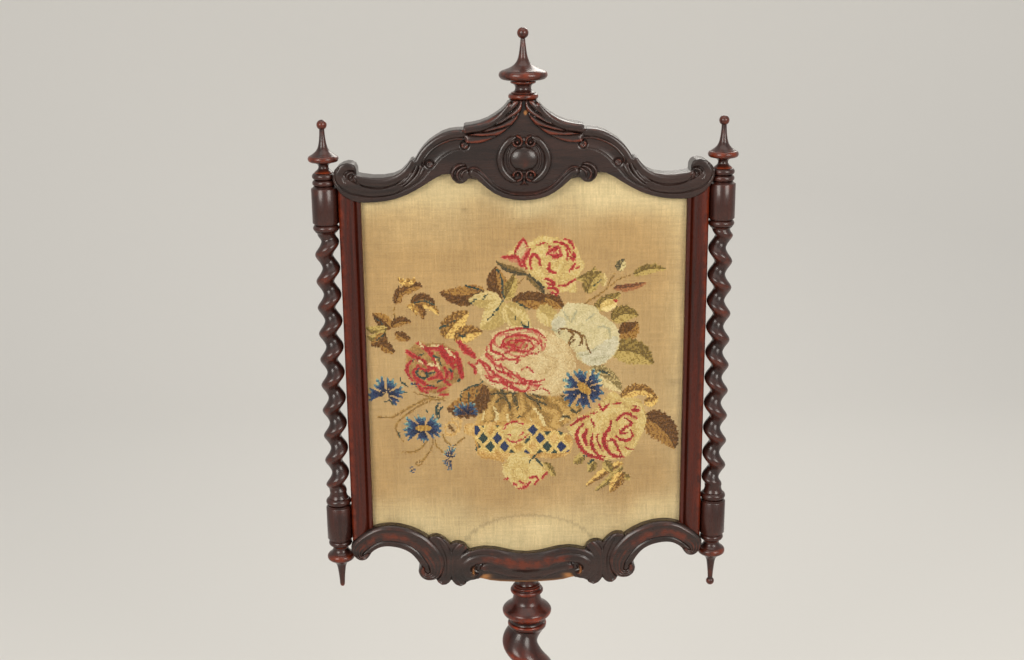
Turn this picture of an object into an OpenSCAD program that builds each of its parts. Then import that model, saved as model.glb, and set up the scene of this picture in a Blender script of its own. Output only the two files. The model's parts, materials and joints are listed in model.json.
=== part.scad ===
// Pole screen: a glazed needlework panel in a carved frame, turning on a twisted stem with three legs.
// Millimetres, +Z up, the front faces -Y. Outlines are drawn for the usual sizes and follow the values.

/* [Frame] */
// Distance between the axes of the two side columns
column_spacing = 550; // [500:2:620]
// Height of the bottom rail's underside above the floor
rail_z = 594; // [550:1:660]
// From the rail's underside to the crest's lower corners
frame_h = 573.5; // [520:0.5:640]
// From the crest's lower corners to its flat peak
crest_h = 136.5; // [120:0.5:160]
// From the rail's underside to the top of its scrolls
rail_h = 97; // [86:0.5:108]
// Depth of the frame behind the rebate's front face
frame_back = 14; // [12:0.5:20]
// Thickness of the moulded lip in front of the glass
lip_t = 9; // [7:0.5:12]
// Width of a side stile
stile_w = 31; // [27:0.5:36]
// Width of the lip that covers the edge of the glass
lip_w = 6.5; // [4:0.5:9]
// Rise of the rounded front of a stile
stile_crown = 7; // [4:0.5:9]
// Thickness of the stile's tongue in the rails
tongue_t = 8; // [6:0.5:10]
// Width of the stile's tongue
tongue_w = 15; // [10:0.5:17]
// Length of the stile's tongue
tongue_l = 20; // [12:0.5:24]
// Glue line between parts that are fixed together
glue_gap = 0.1; // [0.05:0.01:0.2]

/* [Carving] */
// Height of the carved front above the lip
carve_t = 4; // [2:0.5:6]
// Radius of the roll along the crest's upper edge
crest_roll_r = 5; // [3:0.25:6.5]
// Radius of the scroll at each end of the crest
crest_volute_r = 18.5; // [15:0.5:19]
// Radius of the small scroll under the crest
small_scroll_r = 10.5; // [8:0.5:11]
// Radius of the outer scroll of the bottom rail
outer_scroll_r = 14.7; // [12:0.5:16]
// Radius of the inner scroll of the bottom rail
inner_scroll_r = 14; // [11:0.5:15]
// Width of the raised band on the bottom rail's scroll
band_w = 24; // [18:0.5:27]
// Rise of the raised band
band_rise = 5; // [3:0.5:7]
// Radius of the cartouche's ring, to its middle
cartouche_r = 30; // [26:0.5:34]
// Radius of the cartouche ring's section
cartouche_ring_r = 6; // [4:0.25:7]
// Long half of the cartouche's stone
stone_a = 18; // [14:0.5:20]
// Short half of the cartouche's stone
stone_b = 15.5; // [12:0.5:17]
// Diameter of the cartouche's dowel
cartouche_dowel_d = 8; // [6:0.5:10]
// Depth of the cartouche's dowel
cartouche_dowel_l = 8; // [5:0.5:10]

/* [Columns] */
// Diameter of the plain drums
drum_d = 37; // [34:0.5:40]
// Length of the upper drum
top_drum_l = 50; // [40:1:58]
// Length of the lower drum
low_drum_l = 48; // [40:1:56]
// Diameter over the twist
twist_d = 34; // [30:0.5:36]
// Diameter of the twisted strand
strand_d = 25.5; // [22:0.5:28]
// Turns of the twist
twist_turns = 10.15; // [8:0.05:12]
// Direction of the strand at the foot of the left column's twist
left_twist_phase = 80; // [0:5:355]
// Direction of the strand at the foot of the right column's twist
right_twist_phase = 300; // [0:5:355]
// Diameter of the beads beside the drums
bead_d = 36.5; // [33:0.5:38]
// Diameter of the two beads under the top finial
cap_bead_d = 33; // [30:0.5:36]
// Air between a drum and the stile
column_gap = 0.5; // [0.3:0.1:1.5]
// Diameter of the dowels from stile to column
dowel_d = 8; // [6:0.5:9]
// Depth of a dowel in the stile
dowel_in_stile = 13; // [9:0.5:15]
// Depth of a dowel in the drum
dowel_in_drum = 12; // [9:0.5:15]
// Air around the column where a carved end is hollowed to pass it
cope_gap = 0.4; // [0.3:0.05:1]

/* [Finials] */
// Height of the crest finial
finial_h = 96; // [84:1:112]
// Diameter of the crest finial's disc
finial_disc_d = 65; // [56:0.5:72]
// Diameter of the crest finial's ball
finial_ball_d = 15.5; // [12:0.5:18]
// Diameter of the crest finial's foot bead
finial_foot_d = 41; // [36:0.5:44]
// Height of a side finial
side_finial_h = 72.5; // [62:0.5:84]
// Diameter of a side finial's disc
side_disc_d = 42; // [38:0.5:46]
// Diameter of a side finial's ball
side_ball_d = 14; // [11:0.5:16]
// Length of a drop finial with its ball
drop_l = 74; // [64:0.5:84]
// Diameter of a drop finial's disc
drop_disc_d = 40; // [36:0.5:44]
// Diameter of a drop finial's ball
drop_ball_d = 12; // [9:0.5:14]
// Whether the left drop finial keeps its ball
left_drop_ball = false;
// Diameter of the finials' dowels
finial_dowel_d = 9; // [7:0.5:10]
// Length of the finials' dowels
finial_dowel_l = 18; // [12:0.5:24]

/* [Panel] */
// Thickness of the glass
glass_t = 2; // [1.5:0.1:3]
// Thickness of the worked canvas
canvas_t = 1; // [0.6:0.1:1.5]
// Thickness of the stretcher bars
stretcher_t = 8; // [6:0.5:10]
// Width of the stretcher bars
stretcher_w = 30; // [22:1:40]
// Thickness of the back board
board_t = 4; // [3:0.5:6]
// Width of the back beads
bead_w = 7; // [5:0.5:9]
// Diameter of the bead pins
pin_d = 1.6; // [1:0.1:2.5]
// Length of the bead pins
pin_l = 14; // [10:0.5:18]
// Play between the panel and the rebate's walls
panel_gap = 0.6; // [0.3:0.1:1.5]
// Play between the layers of the panel
layer_gap = 0.1; // [0.05:0.01:0.2]

/* [Stem] */
// Diameter of the spigot that the screen turns on
spigot_d = 24; // [20:0.5:26]
// Length of the spigot inside the rail
spigot_l = 32; // [24:0.5:33]
// Radial running fit of the spigot
spigot_fit = 0.06; // [0.02:0.01:0.1]
// Air between the spigot's end and the socket's end
spigot_end_gap = 0.4; // [0.3:0.1:1]
// Bare neck between the rail and the stem's top ring
neck_h = 8; // [4:0.5:10]
// Diameter of the stem's top ring
top_ring_d = 49; // [44:0.5:54]
// Diameter of the stem's bulb
bulb_d = 73; // [66:0.5:80]
// Height of the bulb with its neck and flange
bulb_h = 74; // [66:0.5:82]
// Diameter of the flange under the bulb
flange_d = 59; // [54:0.5:62]
// Diameter over the stem's twist
stem_twist_d = 74; // [66:0.5:80]
// Diameter of the stem's strand
stem_strand_d = 54; // [46:0.5:58]
// Turns of the stem's twist
stem_turns = 2.75; // [2:0.25:4]
// Direction of the strand at the foot of the stem's twist
stem_phase = 330; // [0:5:355]
// Height of the turned foot under the twist
stem_foot_h = 46; // [38:0.5:56]
// Diameter of the stem's tenon in the hub
tenon_d = 28; // [24:0.5:32]
// Length of the stem's tenon
tenon_l = 60; // [45:1:75]

/* [Base] */
// Height of the hub's top above the floor
hub_top = 262; // [245:1:285]
// Height of the hub
hub_h = 112; // [104:1:122]
// Diameter of the hub where the legs meet it
hub_d = 72; // [68:0.5:80]
// Distance from the stem's axis to the end of a foot
leg_reach = 250; // [225:1:280]
// Thickness of a leg
leg_t = 32; // [26:0.5:36]
// Height of a leg where it meets the hub
leg_root_h = 70; // [60:1:74]
// Radius of a foot's scroll
foot_r = 25; // [20:0.5:30]
// Rise of the scroll on each side of a foot
foot_rise = 3; // [2:0.5:5]
// Width of the dovetail at its neck
dovetail_neck = 13; // [10:0.5:15]
// Width of the dovetail at its end
dovetail_end = 18; // [16:0.5:20]
// Depth of the dovetail
dovetail_l = 10; // [8:0.5:12]
// Length of the drop under the hub
base_drop_l = 52; // [42:0.5:62]
// Diameter of the drop under the hub
base_drop_d = 46; // [40:0.5:52]

/* [Hidden] */
$fn = 64;

sx = column_spacing / 555;
sz = crest_h / 138;
rz = rail_h / 97;
col_x = column_spacing / 2;
crest_z = rail_z + frame_h;
peak_z = crest_z + crest_h;
lip_y = -7;
lip_front = lip_y - lip_t;
carve_y = lip_front - carve_t;
stile_out = col_x - drum_d / 2 - column_gap;
stile_in = stile_out - stile_w;
rebate_x = stile_in + lip_w;

// Panel outline: an upright sheet with its four corners cut to stay behind the carving
panel_x = rebate_x - panel_gap;
panel_top = crest_z + 46 * sz;
panel_top_corner = crest_z + 16 * sz;
panel_low = rail_z + 41 * rz;
panel_low_corner = rail_z + 85 * rz;
panel_flat_top = 100 * sx;
panel_flat_low = 95 * sx;
glass_y = lip_y + layer_gap;
canvas_y = glass_y + glass_t + layer_gap;
stretcher_y = canvas_y + canvas_t + layer_gap;
board_y = stretcher_y + stretcher_t + layer_gap;
bead_y = board_y + board_t + layer_gap;

// Column levels, from the foot of the turning to its head
col_top = crest_z + 40 * sz;
col_low = rail_z + 59 * rz;
head_l = top_drum_l + 36.5;
foot_l = low_drum_l + 41;
twist_low = col_low + foot_l;
twist_top = col_top - head_l;
top_dowel_z = col_top - 20.5 - top_drum_l * 0.62;
low_dowel_z = col_low + 15 + low_drum_l / 2;

// Stem levels
bulb_top = rail_z - neck_h;
stem_twist_top = bulb_top - bulb_h;
stem_twist_low = hub_top + stem_foot_h;
foot_t = leg_t + 2 * foot_rise;
leg_in = sqrt(pow(hub_d / 2, 2) - pow(leg_t / 2, 2)) - 0.2;
leg_top = hub_top - 24;
leg_low = leg_top - leg_root_h;
hub_low = hub_top - hub_h;

// The stem stands behind the middle of the plan, since one leg points forward
rear_y = leg_reach * cos(60) + foot_t / 2 * sin(60);
pole_y = (leg_reach - rear_y) / 2;

// Centre and radius of the circle through three points
function circ(a, b, c) =
    let (d = 2 * (a.x * (b.y - c.y) + b.x * (c.y - a.y) + c.x * (a.y - b.y)),
        aa = a * a,
        bb = b * b,
        cc = c * c,
        x = (aa * (b.y - c.y) + bb * (c.y - a.y) + cc * (a.y - b.y)) / d,
        y = (aa * (c.x - b.x) + bb * (a.x - c.x) + cc * (b.x - a.x)) / d)
    [x, y, norm([a.x - x, a.y - y])];

// Signed sweep from a to c by way of b
function sweep(a, b, c) =
    let (k = circ(a, b, c),
        a0 = atan2(a.y - k.y, a.x - k.x),
        a1 = atan2(c.y - k.y, c.x - k.x),
        left = (b.x - a.x) * (c.y - b.y) - (b.y - a.y) * (c.x - b.x) > 0,
        s = a1 - a0)
    left ? (s < 0 ? s + 360 : s) : (s > 0 ? s - 360 : s);

// Arc through three points, without its first point
function arc(a, b, c, n = 10) =
    let (k = circ(a, b, c), a0 = atan2(a.y - k.y, a.x - k.x), s = sweep(a, b, c))
    [for (i = [1 : n]) [k.x + k[2] * cos(a0 + s * i / n), k.y + k[2] * sin(a0 + s * i / n)]];

// Cubic curve, without its first point
function bez(a, b, c, d, n = 14) =
    [for (i = [1 : n]) let (t = i / n, u = 1 - t)
        u * u * u * a + 3 * u * u * t * b + 3 * u * t * t * c + t * t * t * d];

function both(p) = let (n = len(p)) concat(p, [for (i = [n - 2 : -1 : 1]) [-p[i].x, p[i].y]]);
function cr(x, y) = [x * sx, crest_z + y * sz];
function ra(x, y) = [x * sx, rail_z + y * rz];

// Round bead between two heights of a turning, out to radius r
function bead(r, z0, z1, n = 6) =
    let (h = (z1 - z0) / 2)
    [for (i = [0 : n]) [r - h + h * sin(180 * i / n), (z0 + z1) / 2 - h * cos(180 * i / n)]];

// Hollow between two points of a turning, bowed toward the axis by k
function hollow(a, b, k, n = 6) =
    [for (i = [0 : n]) let (t = i / n) a + (b - a) * t - [k * sin(180 * t), 0]];

module at_stem() translate([0, pole_y, 0]) children();
module side(s) scale([1, 1, 1]) mirror([s < 0 ? 1 : 0, 0, 0]) children();
module plate(y0, y1) translate([0, y1, 0]) rotate([90, 0, 0]) linear_extrude(y1 - y0) children();
module turned(p) rotate_extrude() polygon(p);
module mahogany() color([0.32, 0.14, 0.09]) children();

// Round roll along the arc a-b-c, its middle at depth y, set below the arc (or above it, if
// negative) and cut short at both ends
module roll(a, b, c, inset, r, y, cut = 0) {
    k = circ(a, b, c);
    a0 = atan2(a.y - k.y, a.x - k.x);
    s = sweep(a, b, c);
    e = cut / k[2] * 180 / PI;
    translate([k.x, y, k.y])
        rotate([90, 0, 0])
            rotate([0, 0, (s < 0 ? a0 + s : a0) + e])
                rotate_extrude(angle = abs(s) - 2 * e)
                    translate([k[2] + (k.y > b.y ? inset : -inset), 0])
                        circle(r, $fn = 24);
}

module disc_y(x, z, r, y0, y1) translate([x, y1, z]) rotate([90, 0, 0]) cylinder(y1 - y0, r, r);

// Ring of a scroll, with its eye
module scroll_ring(x, z, r, w, y) {
    translate([x, y, z]) rotate([90, 0, 0]) rotate_extrude() translate([r - w - 0.4, 0]) circle(w, $fn = 24);
    translate([x, y - 0.6, z]) sphere(w * 1.1, $fn = 24);
}

// Crest
c_top = [cr(21.4, 135.5), cr(41, 118.5), cr(80.5, 105.5)];
b_top = [cr(83.5, 99.6), cr(121.7, 89.3), cr(148.7, 62.5)];
a_top = [cr(156, 57.2), cr(186, 34.6), cr(229, 36.6)];
crest_low = [cr(230, 0), cr(263, 27), cr(264.5, 35)];
crest_volute = cr(246, 35);
small_scroll = cr(88, 36);

crest_pts = both(concat(
    [cr(0, 0.6)],
    arc(cr(0, 0.6), cr(30, 5.2), cr(53, 19)),
    arc(cr(53, 19), cr(62.5, 27.8), cr(76, 32)),
    [cr(84, 36), cr(104, 38)],
    arc(cr(104, 38), cr(113, 37.6), cr(124, 32)),
    arc(cr(124, 32), cr(149.4, 16.4), cr(177, 4.8)),
    arc(cr(177, 4.8), cr(203, 0.2), cr(230, 0)),
    arc(cr(230, 0), cr(250, 9), cr(264, 30)),
    [cr(258, 40), cr(231, 38)],
    arc(a_top[2], a_top[1], a_top[0]),
    [cr(152, 58)],
    arc(b_top[2], b_top[1], b_top[0]),
    [cr(82.4, 104.6)],
    arc(c_top[2], c_top[1], c_top[0]),
    [cr(16, 138), cr(0, 138)]));

module crest_outline() {
    polygon(crest_pts);
    for (s = [-1, 1]) {
        translate([s * crest_volute.x, crest_volute.y]) circle(crest_volute_r);
        translate([s * small_scroll.x, small_scroll.y]) circle(small_scroll_r);
    }
}

function panel_pts(g) = both([[0, panel_low - g], [panel_flat_low + g * 0.2, panel_low - g],
    [panel_x + g, panel_low_corner - g], [panel_x + g, panel_top_corner + g],
    [panel_flat_top + g * 0.2, panel_top + g], [0, panel_top + g]]);

module panel_pocket() plate(lip_y, frame_back + 20) polygon(panel_pts(panel_gap));

module copes(r, z0, z1)
    for (s = [-1, 1]) translate([s * col_x, 0, z0]) cylinder(z1 - z0, r, r);

module tongue(s, z0, z1, g) {
    x0 = s * (rebate_x + stile_out) / 2;
    translate([x0 - tongue_w / 2 - g, frame_back / 2 - tongue_t / 2 - 3 - g, z0])
        cube([tongue_w + 2 * g, tongue_t + 2 * g, z1 - z0]);
}

module crest_rail() mahogany() at_stem() difference() {
    union() {
        plate(lip_front, frame_back) crest_outline();
        for (s = [0, 1]) mirror([s, 0, 0]) {
            roll(c_top[0], c_top[1], c_top[2], crest_roll_r + 0.4, crest_roll_r, lip_front);
            roll(b_top[0], b_top[1], b_top[2], crest_roll_r + 0.4, crest_roll_r, lip_front);
            roll(a_top[0], a_top[1], a_top[2], crest_roll_r + 0.4, crest_roll_r, lip_front);
            roll(cr(124, 32), cr(149.4, 16.4), cr(177, 4.8), -3.5, 3, lip_front, 1);
            roll(cr(177, 4.8), cr(203, 0.2), cr(230, 0), -3.5, 3, lip_front, 1);
            roll(cr(0, 0.6), cr(30, 5.2), cr(53, 19), -5, 4, lip_front);
            scroll_ring(crest_volute.x, crest_volute.y, crest_volute_r, 5, lip_front);
            scroll_ring(small_scroll.x, small_scroll.y, small_scroll_r, 3.5, lip_front);
        }
    }
    panel_pocket();
    copes(max(drum_d, bead_d, cap_bead_d) / 2 + cope_gap, crest_z - 40, peak_z);
    for (s = [-1, 1]) tongue(s, crest_z - 30, crest_z + 7 + tongue_l + glue_gap, glue_gap);
    translate([0, 0, peak_z - finial_dowel_l - 1]) cylinder(40, finial_dowel_d / 2 + glue_gap, finial_dowel_d / 2 + glue_gap);
    disc_y(0, crest_z + 58 * sz, cartouche_dowel_d / 2 + glue_gap, lip_front - 20, lip_front + cartouche_dowel_l + 1);
    pins(glue_gap / 2);
}

module crest_cartouche() mahogany() at_stem() translate([0, lip_front - glue_gap, crest_z + 58 * sz]) {
    rotate([90, 0, 0]) {
        cylinder(4, cartouche_r + 2, cartouche_r + 2);
        translate([0, 0, 4]) rotate_extrude() translate([cartouche_r, 0]) intersection() {
            circle(cartouche_ring_r, $fn = 32);
            translate([-20, -4]) square([40, 20]);
        }
        for (a = [68, 112, 248, 292]) rotate([0, 0, a]) translate([cartouche_r - 8, 0, 2]) cylinder(6, 5.5, 5.5);
        translate([0, 0, -cartouche_dowel_l]) cylinder(cartouche_dowel_l + 1, cartouche_dowel_d / 2, cartouche_dowel_d / 2);
    }
    intersection() {
        rotate([0, 90, 0]) rotate_extrude() intersection() {
            polygon([for (i = [0 : 32]) [stone_b * sin(180 * i / 32), stone_a * cos(180 * i / 32)]]);
            translate([0, -50]) square([50, 100]);
        }
        translate([-40, -30, -40]) cube([80, 29, 80]);
    }
}

module crest_finial() mahogany() at_stem() translate([0, 0, peak_z]) {
    h = finial_h / 98;
    ball = finial_ball_d / 2;
    turned(concat([[0, -finial_dowel_l], [finial_dowel_d / 2, -finial_dowel_l], [finial_dowel_d / 2, glue_gap],
        [finial_foot_d / 2 - 3, glue_gap]],
        bead(finial_foot_d / 2, glue_gap + 0.2, 7.4 * h),
        [[17, 7.4 * h], [17, 9.4 * h]],
        hollow([16, 9.4 * h], [16.5, 23 * h], 5),
        [[17.5, 23 * h], [17.5, 25 * h]],
        [[finial_disc_d / 2 - 6, 27.5 * h], [finial_disc_d / 2 - 1, 30 * h], [finial_disc_d / 2, 33 * h],
            [finial_disc_d / 2 - 1, 36.5 * h], [finial_disc_d / 2 - 5, 40 * h], [20, 44 * h]],
        hollow([20, 44 * h], [4, finial_h - 2 * ball + 1], 6, 10),
        [for (i = [1 : 12]) let (a = -62 + 152 * i / 12) [ball * cos(a), finial_h - ball + ball * sin(a)]]));
}

// Stiles: the ends are hollowed or rounded to the rails they meet
module stile(s) mahogany() at_stem() {
    mid = s * (stile_in + stile_out) / 2;
    r = (pow(stile_w / 2, 2) + pow(stile_crown, 2)) / (2 * stile_crown);
    z0 = rail_z + 62 * rz;
    z1 = crest_z + 26 * sz;
    difference() {
        union() {
            difference() {
                intersection() {
                    translate([mid - stile_w / 2, lip_front, z0]) cube([stile_w, frame_back - lip_front, z1 - z0]);
                    union() {
                        translate([mid, lip_front + r, z0]) cylinder(z1 - z0, r, r, $fn = 96);
                        translate([mid - stile_w / 2, lip_front + stile_crown, z0]) cube([stile_w, 60, z1 - z0]);
                    }
                }
                panel_pocket();
                plate(-60, 60) polygon(crest_grown);
                plate(-60, 60) translate([s * crest_volute.x, crest_volute.y]) circle(crest_volute_r + glue_gap);
                plate(-60, 60) polygon(rail_grown);
            }
            tongue(s, crest_z - 8, crest_z + 7 + tongue_l, 0);
            tongue(s, rail_z + 80 * rz - tongue_l, rail_z + 96 * rz, 0);
        }
        for (z = [top_dowel_z, low_dowel_z]) dowel_at(s, z, glue_gap);
        pins(glue_gap / 2);
    }
}

module left_stile() stile(-1);
module right_stile() stile(1);

// Bottom rail
r_up = [ra(260, 71), ra(200, 97), ra(146, 76.5)];
r_in = [ra(158.3, 34), ra(200, 63.6), ra(232, 52.4)];
outer_scroll = ra(246, 58);
inner_scroll = ra(149, 22);

rail_pts = both(concat(
    [ra(0, 0)],
    [ra(40, 1.2), ra(70, 7.5), ra(86, 7.4)],
    arc(ra(88, 5), ra(100, -2.5), ra(111, 5), 8),
    arc(ra(113, 5), ra(125, 0.3), ra(137, 9), 8),
    [ra(149, 12)],
    [ra(158, 28)],
    arc(r_in[0], r_in[1], r_in[2], 14),
    [ra(240, 52), ra(258, 60)],
    [r_up[0]],
    arc(r_up[0], r_up[1], r_up[2], 16),
    arc(ra(143, 77.5), ra(133, 78.2), ra(115, 66.5), 8),
    arc(ra(113, 66.3), ra(99, 66), ra(86.5, 53.8), 8),
    arc(ra(85, 53.8), ra(64, 57.8), ra(34, 53), 8),
    arc(ra(34, 53), ra(16, 48.8), ra(0, 47.5), 6)));

// The rails' outlines, moved by the glue line where the stiles meet them
crest_grown = [for (p = crest_pts) [p.x * 1.0004, p.y + (p.y < crest_z + 30 ? -glue_gap : glue_gap)]];
rail_grown = [for (p = rail_pts) [p.x * 1.0004, p.y + glue_gap]];

module rail_outline() {
    polygon(rail_pts);
    for (s = [-1, 1]) {
        translate([s * outer_scroll.x, outer_scroll.y]) circle(outer_scroll_r);
        translate([s * inner_scroll.x, inner_scroll.y]) circle(inner_scroll_r);
    }
}

// Bow-shaped moulding across the middle of the rail
bow_pts = both(concat(
    [ra(0, 6)],
    arc(ra(0, 6), ra(16, 9), ra(34, 17)),
    arc(ra(34, 17), ra(54, 22), ra(70, 19)),
    arc(ra(70, 19), ra(83, 32), ra(76, 50)),
    arc(ra(76, 50), ra(60, 55), ra(34, 50)),
    arc(ra(34, 50), ra(16, 46.5), ra(0, 45.5), 6)));

module bottom_rail() mahogany() at_stem() {
    k = circ(r_up[0], r_up[1], r_up[2]);
    difference() {
        union() {
            plate(lip_front, frame_back) rail_outline();
            plate(lip_front - carve_t, lip_front + 1) polygon(bow_pts);
            translate([-spigot_d * 0.9, -spigot_d / 2 - 7, rail_z]) cube([spigot_d * 1.8, spigot_d + 14, 40 * rz]);
            for (s = [0, 1]) mirror([s, 0, 0]) {
                translate([k.x, lip_front, k.y]) rotate([90, 0, 0]) rotate([0, 0, 42])
                    rotate_extrude(angle = 112)
                        polygon([for (i = [0 : 12]) [k[2] - 3 - band_w / 2 + band_w / 2 * cos(180 * i / 12),
                            -1 + (band_rise + 1) * sin(180 * i / 12)]]);
                scroll_ring(outer_scroll.x, outer_scroll.y, outer_scroll_r, 4.5, lip_front);
                scroll_ring(inner_scroll.x, inner_scroll.y, inner_scroll_r, 4.5, lip_front);
                disc_y(ra(124, 40).x, ra(124, 40).y, 11, lip_front - carve_t * 0.7, lip_front + 1);
                disc_y(ra(101, 31).x, ra(101, 31).y, 11, lip_front - carve_t * 0.7, lip_front + 1);
            }
        }
        panel_pocket();
        copes(max(drum_d, bead_d, drop_disc_d) / 2 + cope_gap, rail_z - 20, rail_z + 110);
        for (s = [-1, 1]) tongue(s, rail_z + 80 * rz - tongue_l - glue_gap, rail_z + 130, glue_gap);
        translate([0, 0, rail_z - 10])
            cylinder(spigot_l + spigot_end_gap + 10, spigot_d / 2 + spigot_fit, spigot_d / 2 + spigot_fit, $fn = 96);
        pins(glue_gap / 2);
    }
}

// Side columns
module twist(d, strand, l, turns, phase, hand, slices, sides)
    linear_extrude(l, twist = hand * 360 * turns, slices = ceil(turns * slices), $fn = sides)
        rotate([0, 0, phase]) translate([(d - strand) / 2, 0]) circle(strand / 2, $fn = sides);

module column(s) mahogany() at_stem() translate([s * col_x, 0, 0]) difference() {
    b = bead_d / 2;
    d = drum_d / 2;
    c = cap_bead_d / 2;
    union() {
        translate([0, 0, twist_low - 4])
            twist(twist_d, strand_d, twist_top - twist_low + 8, twist_turns,
                s < 0 ? left_twist_phase : right_twist_phase, s, 10, 14);
        turned(concat([[0, col_low], [b - 6, col_low]],
            bead(b - 1.2, col_low + 0.5, col_low + 10),
            [[d - 2, col_low + 10.2], [d - 2, col_low + 12], [d, col_low + 13], [d, col_low + 14 + low_drum_l],
                [d - 2, col_low + 15 + low_drum_l], [d - 2, col_low + 16.5 + low_drum_l]],
            bead(b, col_low + 17 + low_drum_l, col_low + 28 + low_drum_l),
            [[13, col_low + 28.5 + low_drum_l], [15, col_low + 31 + low_drum_l], [15, col_low + 35 + low_drum_l],
                [12, twist_low], [0, twist_low]]));
        turned(concat([[0, twist_top], [12, twist_top], [13, twist_top + 3.5]],
            bead(b, twist_top + 4, twist_top + 14.5),
            [[d - 2, twist_top + 15], [d - 2, twist_top + 16], [d, twist_top + 17], [d, twist_top + 15 + top_drum_l],
                [d - 2, twist_top + 16 + top_drum_l], [c - 2, twist_top + 18 + top_drum_l]],
            bead(c, twist_top + 18.2 + top_drum_l, twist_top + 27 + top_drum_l),
            bead(c, twist_top + 27.2 + top_drum_l, col_top),
            [[0, col_top]]));
    }
    translate([0, 0, col_top - finial_dowel_l - 1])
        cylinder(finial_dowel_l + 3, finial_dowel_d / 2 + glue_gap, finial_dowel_d / 2 + glue_gap);
    translate([0, 0, col_low - 2])
        cylinder(finial_dowel_l + 3, finial_dowel_d / 2 + glue_gap, finial_dowel_d / 2 + glue_gap);
    translate([-s * col_x, 0, 0]) for (z = [top_dowel_z, low_dowel_z]) dowel_at(s, z, glue_gap);
}

module left_column() column(-1);
module right_column() column(1);

module dowel_at(s, z, g) {
    x0 = stile_out - dowel_in_stile - g;
    x1 = col_x - drum_d / 2 + dowel_in_drum + g;
    translate([s < 0 ? -x1 : x0, 2, z]) rotate([0, 90, 0]) cylinder(x1 - x0, dowel_d / 2 + g, dowel_d / 2 + g);
}

module column_dowels() color([0.66, 0.5, 0.33]) at_stem()
    for (s = [-1, 1], z = [top_dowel_z, low_dowel_z]) dowel_at(s, z, 0);

// Finials at the heads of the columns
module side_finial(s) mahogany() at_stem() translate([s * col_x, 0, col_top]) {
    h = side_finial_h / 72.5;
    ball = side_ball_d / 2;
    rim = side_disc_d / 2;
    turned(concat([[0, -finial_dowel_l], [finial_dowel_d / 2, -finial_dowel_l], [finial_dowel_d / 2, glue_gap],
        [13.2, glue_gap], [13.2, 2.2 * h]],
        hollow([12, 2.2 * h], [12.5, 11.5 * h], 4),
        [[13.2, 11.6 * h], [13.2, 13.4 * h], [rim - 4, 15 * h], [rim - 0.6, 17 * h], [rim, 19.5 * h],
            [rim - 0.8, 22 * h], [rim - 4, 24.5 * h], [12, 27.5 * h]],
        hollow([12, 27.5 * h], [3.6, side_finial_h - 2 * ball + 1], 3.2, 10),
        [for (i = [1 : 12]) let (a = -60 + 150 * i / 12) [ball * cos(a), side_finial_h - ball + ball * sin(a)]]));
}

module left_top_finial() side_finial(-1);
module right_top_finial() side_finial(1);

// Drop finials under the columns
module drop_finial(s, keeps_ball) mahogany() at_stem() translate([s * col_x, 0, col_low]) mirror([0, 0, 1]) {
    h = drop_l / 74;
    ball = drop_ball_d / 2;
    rim = drop_disc_d / 2;
    neck_end = drop_l - 2 * ball + 1;
    turned(concat([[0, -finial_dowel_l], [finial_dowel_d / 2, -finial_dowel_l], [finial_dowel_d / 2, glue_gap],
        [9.5, glue_gap], [9.5, 1.5 * h]],
        hollow([9, 1.5 * h], [9.5, 8 * h], 1.8),
        [[12, 8.2 * h], [12, 10 * h], [rim - 4, 12.5 * h], [rim - 0.6, 15 * h], [rim, 18 * h], [rim - 0.8, 20.5 * h],
            [rim - 4, 23 * h], [9, 26 * h]],
        hollow([9, 26 * h], [3.4, neck_end], 1.6, 8),
        keeps_ball ? [for (i = [1 : 12]) let (a = -60 + 150 * i / 12)
                [ball * cos(a), drop_l - ball + ball * sin(a)]]
            : [[2.6, neck_end + 2.5], [0, neck_end + 3]]));
}

module left_drop_finial() drop_finial(-1, left_drop_ball);
module right_drop_finial() drop_finial(1, true);

// Panel
module glass_pane() color([0.8, 0.9, 0.88, 0.4]) at_stem() plate(glass_y, glass_y + glass_t) polygon(panel_pts(0));

module needlework_canvas() color([0.78, 0.67, 0.47]) at_stem()
    plate(canvas_y, canvas_y + canvas_t) polygon(panel_pts(-0.5));

module stretcher_outline() difference() {
    polygon(panel_pts(-1));
    translate([-panel_x + stretcher_w, panel_low_corner + stretcher_w])
        square([2 * (panel_x - stretcher_w), panel_top_corner - panel_low_corner - 2 * stretcher_w]);
}

module stretcher_sides() color([0.72, 0.58, 0.4]) at_stem() intersection() {
    plate(stretcher_y, stretcher_y + stretcher_t) stretcher_outline();
    for (s = [-1, 1]) translate([s * (panel_x - stretcher_w / 2) - stretcher_w / 2, -20, panel_low_corner + stretcher_w])
        cube([stretcher_w, 60, panel_top_corner - panel_low_corner - 2 * stretcher_w]);
}

module stretcher_top() color([0.72, 0.58, 0.4]) at_stem() intersection() {
    plate(stretcher_y, stretcher_y + stretcher_t) stretcher_outline();
    translate([-panel_x, -20, panel_top_corner - stretcher_w + glue_gap]) cube([2 * panel_x, 60, 200]);
}

module stretcher_bottom() color([0.72, 0.58, 0.4]) at_stem() intersection() {
    plate(stretcher_y, stretcher_y + stretcher_t) stretcher_outline();
    translate([-panel_x, -20, panel_low_corner + stretcher_w - glue_gap - 200]) cube([2 * panel_x, 60, 200]);
}

module back_board() color([0.45, 0.3, 0.2]) at_stem() plate(board_y, board_y + board_t) polygon(panel_pts(-0.5));

// Beads that hold the back in, pinned to the frame
side_bead_z0 = panel_low_corner + 2;
side_bead_z1 = panel_top_corner - 2;
side_bead_x = rebate_x - bead_w - glue_gap;
end_bead_x = panel_flat_low - 6;

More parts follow.
